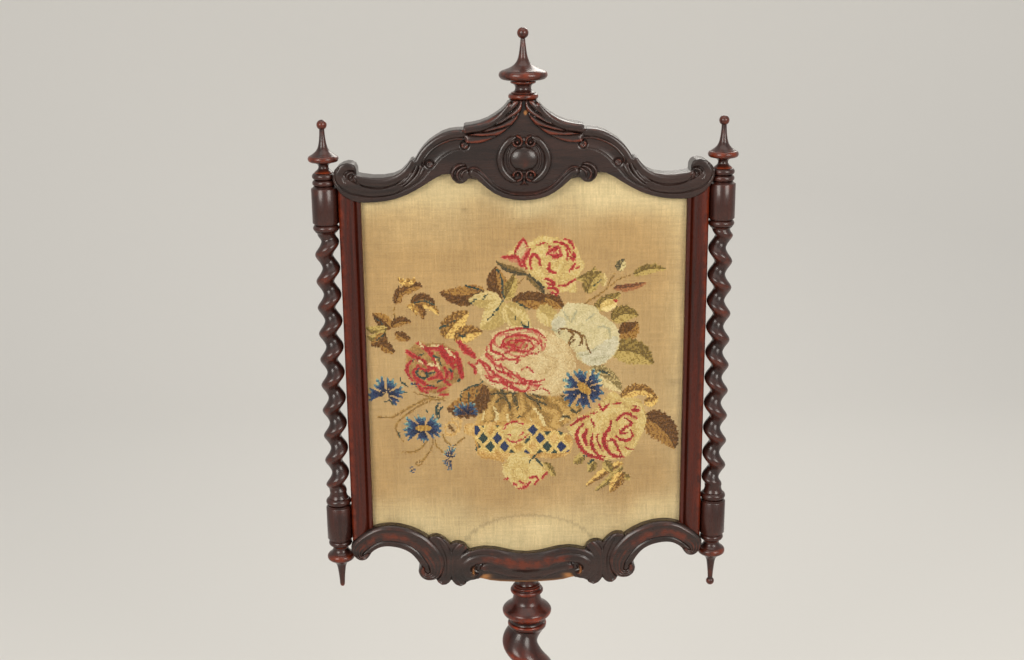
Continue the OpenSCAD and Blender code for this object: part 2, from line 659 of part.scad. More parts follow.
module side_bead(s) color([0.4, 0.2, 0.13]) at_stem() difference() {
    translate([s < 0 ? -side_bead_x - bead_w : side_bead_x, bead_y, side_bead_z0])
        cube([bead_w, frame_back - bead_y - 0.2, side_bead_z1 - side_bead_z0]);
    pins(glue_gap / 2);
}

module end_bead(z) color([0.4, 0.2, 0.13]) at_stem() difference() {
    translate([-end_bead_x, bead_y, z]) cube([2 * end_bead_x, frame_back - bead_y - 0.2, bead_w]);
    pins(glue_gap / 2);
}

module back_bead_left() side_bead(-1);
module back_bead_right() side_bead(1);
module back_bead_top() end_bead(panel_top + panel_gap - bead_w - glue_gap);
module back_bead_bottom() end_bead(panel_low - panel_gap + glue_gap);

module pins(g) {
    y = (bead_y + frame_back) / 2;
    for (s = [-1, 1], t = [0.08, 0.5, 0.92])
        translate([s < 0 ? -side_bead_x - pin_l : side_bead_x, y, side_bead_z0 + t * (side_bead_z1 - side_bead_z0)])
            rotate([0, 90, 0]) cylinder(pin_l, pin_d / 2 + g, pin_d / 2 + g, $fn = 16);
    for (x = [-0.6, 0.6]) {
        translate([x * end_bead_x, y, panel_top - bead_w]) cylinder(pin_l, pin_d / 2 + g, pin_d / 2 + g, $fn = 16);
        translate([x * end_bead_x, y, panel_low + bead_w - pin_l]) cylinder(pin_l, pin_d / 2 + g, pin_d / 2 + g, $fn = 16);
    }
}

module bead_pins() color([0.6, 0.5, 0.3]) at_stem() pins(0);

// Stem
module pole() mahogany() at_stem() {
    sp = spigot_d / 2;
    h = bulb_h / 68;
    t = bulb_top;
    fl = flange_d / 2;
    br = bulb_d / 2;
    f0 = hub_top;
    fs = stem_foot_h / 46;
    tr = stem_twist_d / 2 + 1;
    intersection() {
        translate([0, 0, stem_twist_low - 5])
            twist(stem_twist_d, stem_strand_d, stem_twist_top - stem_twist_low + 10, stem_turns, stem_phase, 1, 16, 20);
        turned([[0, stem_twist_low - 5], [fl - 2, stem_twist_low - 5], [tr, stem_twist_low + 14],
            [tr, stem_twist_top - 14], [fl - 2, stem_twist_top + 5], [0, stem_twist_top + 5]]);
    }
    turned(concat([[0, stem_twist_top], [fl - 6, stem_twist_top]],
        bead(fl, stem_twist_top + 0.5, stem_twist_top + 8 * h),
        [[25.5, stem_twist_top + 8.5 * h], [25.5, stem_twist_top + 11 * h]],
        [for (i = [0 : 10]) let (a = -62 + 128 * i / 10)
            [br - 14 + 14 * cos(a), stem_twist_top + 30 * h + 18 * h * sin(a)]],
        hollow([25, stem_twist_top + 50 * h], [20.5, t - 9 * h], 1.5),
        bead(top_ring_d / 2, t - 9 * h, t - 1.5 * h),
        [[17, t - 1.5 * h], [17, t], [sp, t], [sp, rail_z + spigot_l], [0, rail_z + spigot_l]]));
    turned(concat([[0, hub_top - tenon_l], [tenon_d / 2, hub_top - tenon_l], [tenon_d / 2, f0 + glue_gap],
        [29, f0 + glue_gap]],
        bead(32, f0 + 0.3, f0 + 9 * fs),
        hollow([28, f0 + 9.5 * fs], [24, f0 + 24 * fs], 3),
        bead(28, f0 + 24.2 * fs, f0 + 31 * fs),
        [[25, f0 + 31.4 * fs], [25, f0 + 33.5 * fs]],
        bead(31, f0 + 34 * fs, f0 + 44 * fs),
        [[25, stem_twist_low], [0, stem_twist_low]]));
}

// Base
module base_hub() mahogany() at_stem() difference() {
    r = hub_d / 2;
    turned(concat([[0, hub_low], [r - 10, hub_low]],
        bead(r - 2, hub_low + 0.5, hub_low + 10),
        [[r - 4, hub_low + 10.5], [r - 4, hub_low + 12], [r, hub_low + 14], [r, hub_top - 22]],
        hollow([r - 1, hub_top - 21], [r - 4, hub_top - 11], 3),
        bead(r - 1, hub_top - 10.5, hub_top),
        [[0, hub_top]]));
    translate([0, 0, hub_top - tenon_l - 1])
        cylinder(tenon_l + 5, tenon_d / 2 + glue_gap / 2, tenon_d / 2 + glue_gap / 2);
    translate([0, 0, hub_low - 2])
        cylinder(finial_dowel_l + 3, finial_dowel_d / 2 + glue_gap, finial_dowel_d / 2 + glue_gap);
    for (a = [-90, 30, 150]) rotate([0, 0, a]) {
        translate([leg_in - glue_gap, -leg_t / 2 - glue_gap, leg_low - glue_gap])
            cube([40, leg_t + 2 * glue_gap, leg_root_h + 2 * glue_gap]);
        dovetail(glue_gap);
    }
}

module dovetail(g) translate([leg_in, 0, leg_low - g]) linear_extrude(leg_root_h + 2 * g)
    polygon([[0.5, -dovetail_neck / 2 - g], [-dovetail_l - g, -dovetail_end / 2 - g],
        [-dovetail_l - g, dovetail_end / 2 + g], [0.5, dovetail_neck / 2 + g]]);

// Leg in its own upright plane: r outward, z up
lr = leg_reach;
foot_c = [lr - foot_r, foot_r + 2];
leg_pts = concat(
    [[leg_in, leg_low], [leg_in, leg_top]],
    bez([leg_in, leg_top], [leg_in + 46, leg_top], [lr * 0.44, leg_top - 18], [lr * 0.53, leg_top - 78]),
    bez([lr * 0.53, leg_top - 78], [lr * 0.6, leg_top * 0.42], [lr * 0.7, foot_r * 2.5], [lr - foot_r - 6, foot_r * 2 + 1]),
    [[lr - foot_r, foot_r], [lr - foot_r - 6, 3]],
    bez([lr - foot_r - 6, 3], [lr * 0.66, 12], [lr * 0.54, leg_low * 0.36], [lr * 0.44, leg_low * 0.63]),
    bez([lr * 0.44, leg_low * 0.63], [lr * 0.37, leg_low * 0.83], [leg_in + 38, leg_low + 2], [leg_in, leg_low]));

module leg(a) mahogany() at_stem() rotate([0, 0, a]) {
    translate([0, leg_t / 2, 0]) rotate([90, 0, 0]) linear_extrude(leg_t) polygon(leg_pts);
    translate([foot_c.x, foot_t / 2, foot_c.y]) rotate([90, 0, 0]) cylinder(foot_t, foot_r, foot_r);
    translate([foot_c.x - foot_r * 0.5, -leg_t / 2, 0]) cube([foot_r, leg_t, foot_r]);
    dovetail(0);
}

module leg_front() leg(-90);
module leg_right() leg(30);
module leg_left() leg(150);

module base_drop() mahogany() at_stem() translate([0, 0, hub_low]) mirror([0, 0, 1]) {
    r = base_drop_d / 2;
    h = base_drop_l / 52;
    turned(concat([[0, -finial_dowel_l], [finial_dowel_d / 2, -finial_dowel_l], [finial_dowel_d / 2, glue_gap],
        [r - 5, glue_gap]],
        bead(r - 3, glue_gap + 0.2, 7 * h),
        hollow([r - 8, 7.5 * h], [r - 7, 14 * h], 2),
        [for (i = [0 : 8]) let (a = -50 + 100 * i / 8) [r - 9 + 9 * cos(a), 24 * h + 11 * h * sin(a)]],
        hollow([r - 8, 34 * h], [5, 42 * h], 2),
        [for (i = [1 : 10]) let (a = -50 + 140 * i / 10) [5.5 * cos(a), base_drop_l - 5.5 + 5.5 * sin(a)]]));
}

pole();
base_hub();
leg_front();
leg_left();
leg_right();
base_drop();
bottom_rail();
left_stile();
right_stile();
crest_rail();
crest_cartouche();
crest_finial();
left_column();
right_column();
left_top_finial();
right_top_finial();
left_drop_finial();
right_drop_finial();
column_dowels();
glass_pane();
needlework_canvas();
stretcher_sides();
stretcher_top();
stretcher_bottom();
back_board();
back_bead_left();
back_bead_right();
back_bead_top();
back_bead_bottom();
bead_pins();
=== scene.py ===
import bpy
import bmesh
import json
import math
import numpy as np
from mathutils import Matrix, Vector


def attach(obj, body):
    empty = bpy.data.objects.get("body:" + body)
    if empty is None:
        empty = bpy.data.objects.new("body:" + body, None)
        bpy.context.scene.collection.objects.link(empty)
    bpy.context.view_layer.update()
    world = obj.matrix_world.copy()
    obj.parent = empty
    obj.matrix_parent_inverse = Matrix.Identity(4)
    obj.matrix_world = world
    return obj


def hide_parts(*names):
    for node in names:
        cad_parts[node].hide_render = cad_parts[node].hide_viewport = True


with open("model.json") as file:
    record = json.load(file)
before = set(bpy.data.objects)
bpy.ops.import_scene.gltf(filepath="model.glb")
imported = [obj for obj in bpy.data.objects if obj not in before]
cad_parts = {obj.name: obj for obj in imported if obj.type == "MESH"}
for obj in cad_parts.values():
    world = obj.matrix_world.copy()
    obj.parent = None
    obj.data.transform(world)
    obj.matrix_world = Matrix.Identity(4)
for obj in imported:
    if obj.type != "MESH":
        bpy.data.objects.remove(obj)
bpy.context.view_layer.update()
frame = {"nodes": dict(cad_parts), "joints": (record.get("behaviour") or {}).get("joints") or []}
nodes = frame["nodes"]
mm = 0.001
stemY = frame["joints"][0]["pos_m"][1] / mm   # the stem's axis, behind the middle of the plan
print("frame loaded,", len(nodes), "nodes, stem at y", round(stemY, 2), "mm")


def linear(hexColour):
    # sRGB hex to linear RGBA
    c = np.array([int(hexColour[i:i + 2], 16) for i in (1, 3, 5)]) / 255
    c = np.where(c <= 0.04045, c / 12.92, ((c + 0.055) / 1.055) ** 2.4)
    return (float(c[0]), float(c[1]), float(c[2]), 1.0)


def addNode(tree, kind, settings=None, inputs=None):
    # a shader node with its settings; an input is a value, or the output socket that feeds it
    n = tree.nodes.new("ShaderNode" + kind)
    for key, value in (settings or {}).items():
        if key == "ramp":
            while len(n.color_ramp.elements) < len(value):
                n.color_ramp.elements.new(0.5)
            for e, (place, colour) in zip(n.color_ramp.elements, value):
                e.position = place
                e.color = linear(colour) if isinstance(colour, str) else (colour, colour, colour, 1)
        else:
            setattr(n, key, value)
    for key, value in (inputs or {}).items():
        if isinstance(value, bpy.types.NodeSocket):
            tree.links.new(value, n.inputs[key])
        else:
            n.inputs[key].default_value = value
    return n


def newMaterial(name):
    # an empty material and its node tree
    m = bpy.data.materials.new(name)
    m.use_nodes = True
    m.node_tree.nodes.clear()
    return m, m.node_tree


def eased(t):
    # 0 to 1 with level ends: 3 t^2 - 2 t^3
    return t * t * (3 - 2 * t)


def throughPoints(points, count):
    # curve through the points, each span a cubic whose ends lean along the neighbours, evenly spaced by their
    # numbers
    p = np.array(points, float)
    q = np.vstack([2 * p[0] - p[1], p, 2 * p[-1] - p[-2]])
    t = np.linspace(0, len(p) - 1, count)
    i = np.minimum(t.astype(int), len(p) - 2)
    f = (t - i)[:, None]
    a, b, c, d = q[i], q[i + 1], q[i + 2], q[i + 3]
    return 0.5 * (2 * b + (c - a) * f + (2 * a - 5 * b + 4 * c - d) * f ** 2
                  + (3 * b - a - 3 * c + d) * f ** 3)


def smoothLine(points, count=80):
    # the same curve, evenly spaced by its length
    r = throughPoints(points, 24 * (len(points) - 1) + 1)
    s = np.concatenate([[0], np.cumsum(np.linalg.norm(np.diff(r, axis=0), axis=1))])
    e = np.linspace(0, s[-1], count)
    return np.stack([np.interp(e, s, r[:, k]) for k in (0, 1)], 1)


def nearest(line, x, z):
    # distance from each point to the line of short segments, and how far along it the foot lies, 0 to 1
    a, b = line[:-1], line[1:]
    d = b - a
    t = ((x[:, None] - a[:, 0]) * d[:, 0] + (z[:, None] - a[:, 1]) * d[:, 1]) / (d ** 2).sum(1)
    t = np.clip(t, 0, 1)
    r = np.hypot(x[:, None] - a[:, 0] - t * d[:, 0], z[:, None] - a[:, 1] - t * d[:, 1])
    k = r.argmin(1)
    rows = np.arange(len(x))
    return r[rows, k], (k + t[rows, k]) / len(a)


def near(line, reach, x, z):
    # which points lie in the line's box, grown by the reach
    lo, hi = line.min(0) - reach, line.max(0) + reach
    return (x > lo[0]) & (x < hi[0]) & (z > lo[1]) & (z < hi[1])


def ridge(h, x, z, line, half, rise, ends=(0, 0), power=0.5):
    # raises h to a rounded ridge along the line: rise * (1 - (d / half)^2)^power, narrowing over the share
    # `ends`
    p = smoothLine(line)
    sel = near(p, half, x, z)
    d, t = nearest(p, x[sel], z[sel])
    w = np.ones_like(t)
    for end, way in zip(ends, (t, 1 - t)):
        if end:
            w = w * np.clip(way / end, 0, 1) ** 0.6
    e = np.clip(1 - (d / np.maximum(half * w, 0.05)) ** 2, 0, 1)
    h[sel] = np.where(e > 0, np.maximum(h[sel], rise * w ** 0.7 * e ** power), h[sel])


def groove(h, x, z, line, half, depth):
    # sinks h by depth * exp(-(d / half)^2) along the line
    p = smoothLine(line)
    sel = near(p, 3 * half, x, z)
    h[sel] -= depth * np.exp(-(nearest(p, x[sel], z[sel])[0] / half) ** 2)


def boss(h, x, z, cx, cz, r, rise, ring=0.0):
    # round button: a dome of radius r; with `ring`, a sunk circle round it
    d = np.hypot(x - cx, z - cz)
    e = np.clip(1 - (d / r) ** 2, 0, 1)
    if ring:
        h -= ring * np.exp(-((d - r * 1.12) / (0.22 * r)) ** 2)
    np.maximum(h, rise * np.sqrt(e), out=h, where=e > 0)


def cutAll(h, x, z, cuts):
    # makes a carving's cuts in their order: each is one of the three tools above and what it is given
    for tool, *how in cuts:
        tool(h, x, z, *how)


def gridFaces(m, n, wrap=False):
    # quads of an m by n grid of points; `wrap` joins the last column to the first
    i = np.arange(m)
    j = np.arange(n if wrap else n - 1)
    a = i[:-1, None] * n + j
    b = i[1:, None] * n + j
    c = i[1:, None] * n + (j + 1) % n
    d = i[:-1, None] * n + (j + 1) % n
    return np.stack([a, b, c, d], -1).reshape(-1, 4)


def slab(front, back, rim=1.5):
    # block between two sheets of points with the same columns and any number of rows each; walls along the
    # first and the last row, with a row of points close behind the front's edge where its rounding ends; its
    # ends are left open
    behind = np.array([0, rim, 0])
    back = np.concatenate([front[:, :1] + behind, back, front[:, -1:] + behind], 1)
    (m, n), k = front.shape[:2], back.shape[1]
    a, b = np.arange(m * n).reshape(m, n), m * n + np.arange(m * k).reshape(m, k)
    foot = np.stack([a[:-1, 0], b[:-1, 0], b[1:, 0], a[1:, 0]], 1)
    head = np.stack([a[1:, -1], b[1:, -1], b[:-1, -1], a[:-1, -1]], 1)
    faces = np.vstack([gridFaces(m, n), gridFaces(m, k)[:, ::-1] + m * n, foot, head])
    return np.vstack([front.reshape(-1, 3), back.reshape(-1, 3)]), faces


def frontOnly(values, verts):
    # values of a slab's front points, with zeros for the points behind them
    return np.pad(values.ravel(), (0, len(verts) - values.size))


def mirrored(verts, faces):
    # the same on the other side of the middle, its faces turned round so that they still point outwards
    return verts * np.array([-1, 1, 1]), faces[:, ::-1]


def joined(parts):
    # several (points, quads) pairs as one
    verts, faces, base = [], [], 0
    for v, f in parts:
        verts.append(v)
        faces.append(f + base)
        base += len(v)
    return np.vstack(verts), np.vstack(faces)


def blurred(h, a, b):
    # mean over a window of (2a+1) by (2b+1) grid points
    for axis, k in ((0, a), (1, b)):
        pad = [(k + 1, k) if x == axis else (0, 0) for x in (0, 1)]
        c = np.cumsum(np.pad(h, pad, mode="edge"), axis=axis)
        n = h.shape[axis]
        hi = np.take(c, np.arange(2 * k + 1, n + 2 * k + 1), axis)
        lo = np.take(c, np.arange(0, n), axis)
        h = (hi - lo) / (2 * k + 1)
    return h


def wearFrom(h, a, b, scale):
    # how far a relief stands above the mean of its surroundings, -1 in the hollows to 1 on the edges
    return np.clip((h - blurred(h, a, b)) / scale, -1, 1)


def makePiece(name, verts, faces, body, material, stands=(), values=None, sharp=38, weld=1e-6,
              capped=False):
    # mesh from arrays in millimetres measured from the stem's axis; values are per-point numbers
    mesh = bpy.data.meshes.new(name)
    co = (verts + np.array([0, stemY, 0])) * mm
    mesh.vertices.add(len(co))
    mesh.vertices.foreach_set("co", co.astype(np.float32).ravel())
    mesh.loops.add(faces.size)
    mesh.loops.foreach_set("vertex_index", faces.astype(np.int32).ravel())
    mesh.polygons.add(len(faces))
    mesh.polygons.foreach_set("loop_start", np.arange(0, faces.size, faces.shape[1], dtype=np.int32))
    for key, v in (values or {}).items():
        mesh.attributes.new(key, "FLOAT", "POINT").data.foreach_set("value", v.astype(np.float32).ravel())
    mesh.update(calc_edges=True)
    b = bmesh.new()
    b.from_mesh(mesh)
    if weld:
        bmesh.ops.remove_doubles(b, verts=b.verts, dist=weld)
        bmesh.ops.dissolve_degenerate(b, edges=b.edges, dist=weld)
    if capped:
        bmesh.ops.holes_fill(b, edges=b.edges, sides=0)
    b.to_mesh(mesh)
    b.free()
    mesh.polygons.foreach_set("use_smooth", np.ones(len(mesh.polygons), bool))
    if sharp:
        mesh.set_sharp_from_angle(angle=math.radians(sharp))
    mesh.validate()
    piece = bpy.data.objects.new(name, mesh)
    bpy.context.scene.collection.objects.link(piece)
    mesh.materials.append(material)
    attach(piece, body)
    if stands:
        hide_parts(*stands)
    print(" ", name, len(mesh.polygons), "faces")
    return piece


# woods; a Mix node's colours go in at mixA and mixB and come out at mixOut
mixA, mixB, mixOut = 6, 7, 2
polish = {"figureLong": 150, "poreWide": 0.9, "poreLong": 9, "patch": 14, "wax": "#120a08",
          "bareWood": "#a8713f"}


def grainScale(wide, long, axis):
    # noise scale for streaks so wide and so long in millimetres, running along one axis
    scale = [1000 / wide] * 3
    scale[axis] = 1000 / long
    return scale


def polishedMahogany(name, dark, mid, worn, axis, figure=16.0, gloss=0.25, coat=0.18):
    # French-polished mahogany: brown figure 7 to 16 mm wide that runs along the grain, short dark pores,
    # nearly black wax in the hollows and red wood where hands and dusters have rubbed the high edges
    m, t = newMaterial(name)
    where = addNode(t, "TexCoord").outputs["Object"]
    fig = addNode(t, "Mapping", {}, {
        "Vector": where, "Scale": grainScale(figure, polish["figureLong"], axis)})
    bands = addNode(t, "TexNoise", {}, {
        "Vector": fig.outputs[0], "Scale": 1.0, "Detail": 5.0, "Roughness": 0.6, "Distortion": 0.5})
    poreMap = addNode(t, "Mapping", {}, {   # pores are 0.2 mm wide; drawn 0.9 mm so that they show
        "Vector": where, "Scale": grainScale(polish["poreWide"], polish["poreLong"], axis)})
    pores = addNode(t, "TexNoise", {}, {"Vector": poreMap.outputs[0], "Scale": 1.0, "Detail": 2.0})
    wear = addNode(t, "Attribute", {"attribute_name": "wear"}).outputs["Fac"]
    bare = addNode(t, "Attribute", {"attribute_name": "bare"}).outputs["Fac"]
    base = addNode(t, "ValToRGB", {"ramp": [(0.36, dark), (0.64, mid)]}, {"Fac": bands.outputs["Fac"]})
    poreDark = addNode(t, "ValToRGB", {"ramp": [(0.40, 0.62), (0.52, 1.0)]}, {"Fac": pores.outputs["Fac"]})
    wood = addNode(t, "Mix", {"data_type": "RGBA", "blend_type": "MULTIPLY"},
                   {"Factor": 0.7, mixA: base.outputs[0], mixB: poreDark.outputs[0]})
    patch = addNode(t, "TexNoise", {}, {
        "Vector": where, "Scale": 1000 / polish["patch"], "Detail": 4.0, "Roughness": 0.65})
    patchy = addNode(t, "MapRange", {}, {"Value": patch.outputs["Fac"], "From Min": 0.25, "From Max": 0.75})
    rubbed = addNode(t, "Math", {"operation": "MULTIPLY"}, {0: wear, 1: patchy.outputs[0]})
    high = addNode(t, "MapRange", {"interpolation_type": "SMOOTHSTEP"},
                   {"Value": rubbed.outputs[0], "From Min": 0.06, "From Max": 0.60, "To Max": 0.8})
    low = addNode(t, "MapRange", {"interpolation_type": "SMOOTHSTEP"},
                  {"Value": wear, "From Min": -0.25, "From Max": -1.1, "To Max": 0.75})
    colour = wood.outputs[mixOut]
    for share, over in ((high.outputs[0], worn), (low.outputs[0], polish["wax"]), (bare, polish["bareWood"])):
        colour = addNode(t, "Mix", {"data_type": "RGBA"},
                         {"Factor": share, mixA: colour, mixB: linear(over)}).outputs[mixOut]
    rough = addNode(t, "MapRange", {}, {
        "Value": pores.outputs["Fac"], "From Min": 0.3, "From Max": 0.7, "To Min": gloss + 0.10,
        "To Max": gloss})
    bump = addNode(t, "Bump", {}, {"Height": pores.outputs["Fac"], "Strength": 0.12, "Distance": 0.0002})
    s = addNode(t, "BsdfPrincipled", {}, {
        "Base Color": colour, "Roughness": rough.outputs[0], "Normal": bump.outputs[0], "IOR": 1.5,
        "Specular IOR Level": 0.36, "Coat Weight": coat, "Coat Roughness": 0.1})
    addNode(t, "OutputMaterial", {}, {"Surface": s.outputs[0]})
    return m


# its browns are greyed, partly for dust on the polish and partly as a painted grey sheen
carvedMahogany = polishedMahogany("mahogany carved and French polished", "#201613", "#35231e", "#64260f", 0)
stileMahogany = polishedMahogany("mahogany moulded and French polished", "#2c0d05", "#4c1606", "#6a2308", 2,
                                 figure=7.0, coat=0.06)
# its browns are greyed as well: partly dust on the polish, partly a painted grey sheen
turnedMahogany = polishedMahogany("mahogany turned and French polished", "#281512", "#3e1e17", "#7a2c0b", 2)
stemMahogany = polishedMahogany("mahogany stem turned and polished", "#2e0f08", "#4e190a", "#93320d", 2)
legMahogany = polishedMahogany("mahogany legs carved and polished", "#2a120d", "#40190f", "#742a15", 2)
beadMahogany = polishedMahogany("mahogany bead planed and oiled", "#43221a", "#5c3020", "#7a4028", 2,
                                gloss=0.42, coat=0.1)


def plainWood(name, dark, mid, axis, wide, rough):
    # planed pine, beech or thin board: straight growth rings, dry surface
    m, t = newMaterial(name)
    where = addNode(t, "TexCoord").outputs["Object"]
    lie = addNode(t, "Mapping", {}, {"Vector": where, "Scale": grainScale(wide, 220, axis)})
    ring = addNode(t, "TexNoise", {}, {
        "Vector": lie.outputs[0], "Scale": 1.0, "Detail": 4.0, "Distortion": 0.4})
    base = addNode(t, "ValToRGB", {"ramp": [(0.34, dark), (0.62, mid)]}, {"Fac": ring.outputs["Fac"]})
    bump = addNode(t, "Bump", {}, {"Height": ring.outputs["Fac"], "Strength": 0.2, "Distance": 0.0003})
    s = addNode(t, "BsdfPrincipled", {}, {
        "Base Color": base.outputs[0], "Roughness": rough, "Normal": bump.outputs[0]})
    addNode(t, "OutputMaterial", {}, {"Surface": s.outputs[0]})
    return m


pineStretcher = plainWood("pine planed for stretchers", "#a8824f", "#c9a46c", 2, 7, 0.7)
backBoard = plainWood("thin mahogany board planed and stained", "#3a2219", "#5b3626", 2, 12, 0.62)
beechDowel = plainWood("beech dowel rod", "#b08a5c", "#c8a676", 0, 3, 0.65)


def steelPin():
    # drawn steel wire, dull with age: grey-brown metal with rust freckles 1.2 mm across
    m, t = newMaterial("steel wire pins tarnished")
    where = addNode(t, "TexCoord").outputs["Object"]
    fleck = addNode(t, "TexNoise", {}, {"Vector": where, "Scale": 1000 / 1.2, "Detail": 3.0})
    base = addNode(t, "ValToRGB", {"ramp": [(0.4, "#6f665c"), (0.62, "#4a3427")]},
                   {"Fac": fleck.outputs["Fac"]})
    s = addNode(t, "BsdfPrincipled", {}, {"Base Color": base.outputs[0], "Metallic": 0.9, "Roughness": 0.5})
    addNode(t, "OutputMaterial", {}, {"Surface": s.outputs[0]})
    return m


def pictureGlass():
    # old drawn picture glass: clear, polished, with slight waves 160 mm long; it lets light straight through
    # to the wool, and its index is set low so that the pale floor in front doesn't veil the colours
    m, t = newMaterial("picture glass drawn and polished")
    where = addNode(t, "TexCoord").outputs["Object"]
    wave = addNode(t, "TexNoise", {}, {"Vector": where, "Scale": 1000 / 160, "Detail": 1.0})
    bump = addNode(t, "Bump", {}, {"Height": wave.outputs["Fac"], "Strength": 0.05, "Distance": 0.002})
    s = addNode(t, "BsdfPrincipled", {}, {
        "Base Color": linear("#fbfdf9"), "Roughness": 0.02, "IOR": 1.25, "Transmission Weight": 1.0,
        "Normal": bump.outputs[0]})
    clear = addNode(t, "BsdfTransparent")
    path = addNode(t, "LightPath").outputs
    through = addNode(t, "Math", {"operation": "MAXIMUM"},
                      {0: path["Is Shadow Ray"], 1: path["Is Diffuse Ray"]})
    mix = addNode(t, "MixShader", {}, {0: through.outputs[0], 1: s.outputs[0], 2: clear.outputs[0]})
    addNode(t, "OutputMaterial", {}, {"Surface": mix.outputs[0]})
    return m


def dress(material, *names):
    # material of the CAD nodes that stay in view
    for n in names:
        data = nodes[n].data
        data.materials.clear()
        data.materials.append(material)


dress(beechDowel, "column_dowels")
dress(pineStretcher, "stretcher_sides", "stretcher_top", "stretcher_bottom")
dress(backBoard, "back_board")
dress(beadMahogany, "back_bead_left", "back_bead_right", "back_bead_top", "back_bead_bottom")
dress(steelPin(), "bead_pins")
dress(pictureGlass(), "glass_pane")
print("materials made")


def bead(r, z0, z1, n=12):
    # half-round of a turning between two heights, out to radius r
    h = (z1 - z0) / 2
    a = np.linspace(0, np.pi, n)
    return np.stack([r - h + h * np.sin(a), (z0 + z1) / 2 - h * np.cos(a)], 1)


def hollow(a, b, k, n=14):
    # curve between two points of a turning, bowed toward the axis by k
    t = np.linspace(0, 1, n)[:, None]
    p = np.array(a) + (np.array(b) - np.array(a)) * t
    p[:, 0] -= k * np.sin(np.pi * t[:, 0])
    return p


def ball(z, r, start, n=16):
    # round end of a turning: a circle of radius r at height z, from the start angle up to the axis
    a = np.radians(np.linspace(start, 90, n))
    return np.stack([r * np.cos(a), z + r * np.sin(a)], 1)


def profileOf(*runs):
    # runs of (radius, height) points as one profile
    return np.vstack([np.atleast_2d(np.array(r, float)) for r in runs])


def wearOf(profile, span=4.0, step=0.5):
    # how far each point of a profile stands above the mean radius of its neighbours, -1 to 1
    r, z = profile[:, 0], profile[:, 1]
    s = np.concatenate([[0], np.cumsum(np.hypot(np.diff(r), np.diff(z)))])
    even = np.linspace(0, s[-1], max(8, int(s[-1] / step)))
    k = np.ones(int(span / step) * 2 + 1)
    re = np.interp(even, s, r)
    mean = np.convolve(np.pad(re, len(k) // 2, mode="edge"), k / k.sum(), "valid")
    return np.clip(np.interp(s, even, re - mean) / 1.6, -1, 1)


def lathe(profile, around=72, cx=0.0, twist=None, rubbed=0.0):
    # surface of revolution: radius and height from the profile, carried round the axis; in the twist's
    # heights it is a round strand whose centre circles the axis: radius e cos p + sqrt(s^2 - e^2 sin^2 p), p
    # the angle from the strand, with the groove between the turns drawn in a little
    r, z = profile[:, 0], profile[:, 1]
    a = np.linspace(0, 2 * np.pi, around, endpoint=False)
    radius = np.repeat(r[:, None], around, 1)
    wear = np.repeat(wearOf(profile)[:, None] + rubbed, around, 1)
    if twist:
        turn = twist["hand"] * 2 * np.pi * (z - twist["z0"]) / twist["pitch"] + np.radians(twist["phase"])
        p = a[None, :] - turn[:, None]
        e = twist["throw"]
        strand = e * np.cos(p) + np.sqrt(twist["strand"] ** 2 - (e * np.sin(p)) ** 2)
        strand = strand * (1 - twist["pinch"] * np.clip(-np.cos(p), 0, 1) ** 4)
        handled = 0.5 + 0.5 * np.cos(p - twist["hand"] * 0.6)   # rubbed most just below the strand's ridge
        share = (np.clip((z - twist["low"]) / twist["fade"], 0, 1)
                 * np.clip((twist["top"] - z) / twist["fade"], 0, 1))
        share = eased(share)[:, None]
        radius = radius * (1 - share) + strand * share
        wear = wear * (1 - share) + share * np.clip(1.9 * handled - 1.15, -0.75, 0.6)
    verts = np.stack([cx + radius * np.cos(a), radius * np.sin(a), np.repeat(z[:, None], around, 1)], -1)
    return verts.reshape(-1, 3), gridFaces(len(z), around, wrap=True)[:, ::-1], wear.ravel()


columns = {"x": 275.0, "foot": 653.0, "head": 1207.07, "drum": 18.5, "bead": 18.25, "cap": 16.5,
           "headDrum": 50.0, "footDrum": 48.0, "footTurning": 41.0, "headTurning": 36.5,
           "pitch": 38.086, "throw": 4.4, "strand": 12.7, "pinch": 0.06, "fade": 12}
twistLow = columns["foot"] + columns["footDrum"] + columns["footTurning"]
twistTop = columns["head"] - columns["headDrum"] - columns["headTurning"]


def columnProfile(c):
    # from the foot up: bead, drum, bead and hollow, the twist's core, the same again, and two beads for a cap
    low, top, d, b, k = c["foot"], c["head"], c["drum"], c["bead"], c["cap"]
    t0, t1 = twistLow, twistTop
    lo, hi = low + c["footDrum"], t1 + c["headDrum"]
    core = np.linspace(t0 + 1, t1 - 1, int((t1 - t0) / 1.25))
    return profileOf(
        [[0, low], [b - 6, low]], bead(b - 1.2, low + 0.5, low + 10),
        [[d - 2, low + 10.2], [d - 2, low + 12]],
        [[d - 0.5, low + 12.5], [d, low + 13.2], [d, lo - 20], [d, lo + 13.4], [d - 0.6, lo + 14.4]],
        [[d - 2, lo + 15], [d - 2, lo + 16.5]], bead(b, lo + 17, lo + 28),
        hollow([14.4, lo + 28.3], [12.6, lo + 39.6], 1.2), [[12.5, lo + 40]],
        np.stack([np.full_like(core, 12.5), core], 1),
        hollow([12.5, t1 - 0.8], [15.6, t1 + 4.6], 1.0),
        bead(b, t1 + 4.9, t1 + 14.5), [[d - 2, t1 + 15], [d - 2, t1 + 16]],
        [[d - 0.5, t1 + 16.4], [d, t1 + 17.2], [d, t1 + 40], [d, hi + 14.4], [d - 0.6, hi + 15.4]],
        [[d - 2, hi + 16], [k - 2, hi + 18]], bead(k, hi + 18.2, hi + 27), bead(k, hi + 27.2, top),
        [[0, top]])


for side, name, hand, phase in ((-1, "left", 1, 80), (1, "right", -1, 300)):
    twist = dict(columns, hand=hand, phase=phase, z0=twistLow - 4, low=twistLow - 3, top=twistTop + 3)
    verts, faces, wear = lathe(columnProfile(columns), 56, side * columns["x"], twist)
    wear = np.where(wear > 0, 0.65 * wear, wear)
    makePiece(name + "TwistColumn", verts, faces, "screen", turnedMahogany,
              [name + "_column"],
              {"wear": wear})

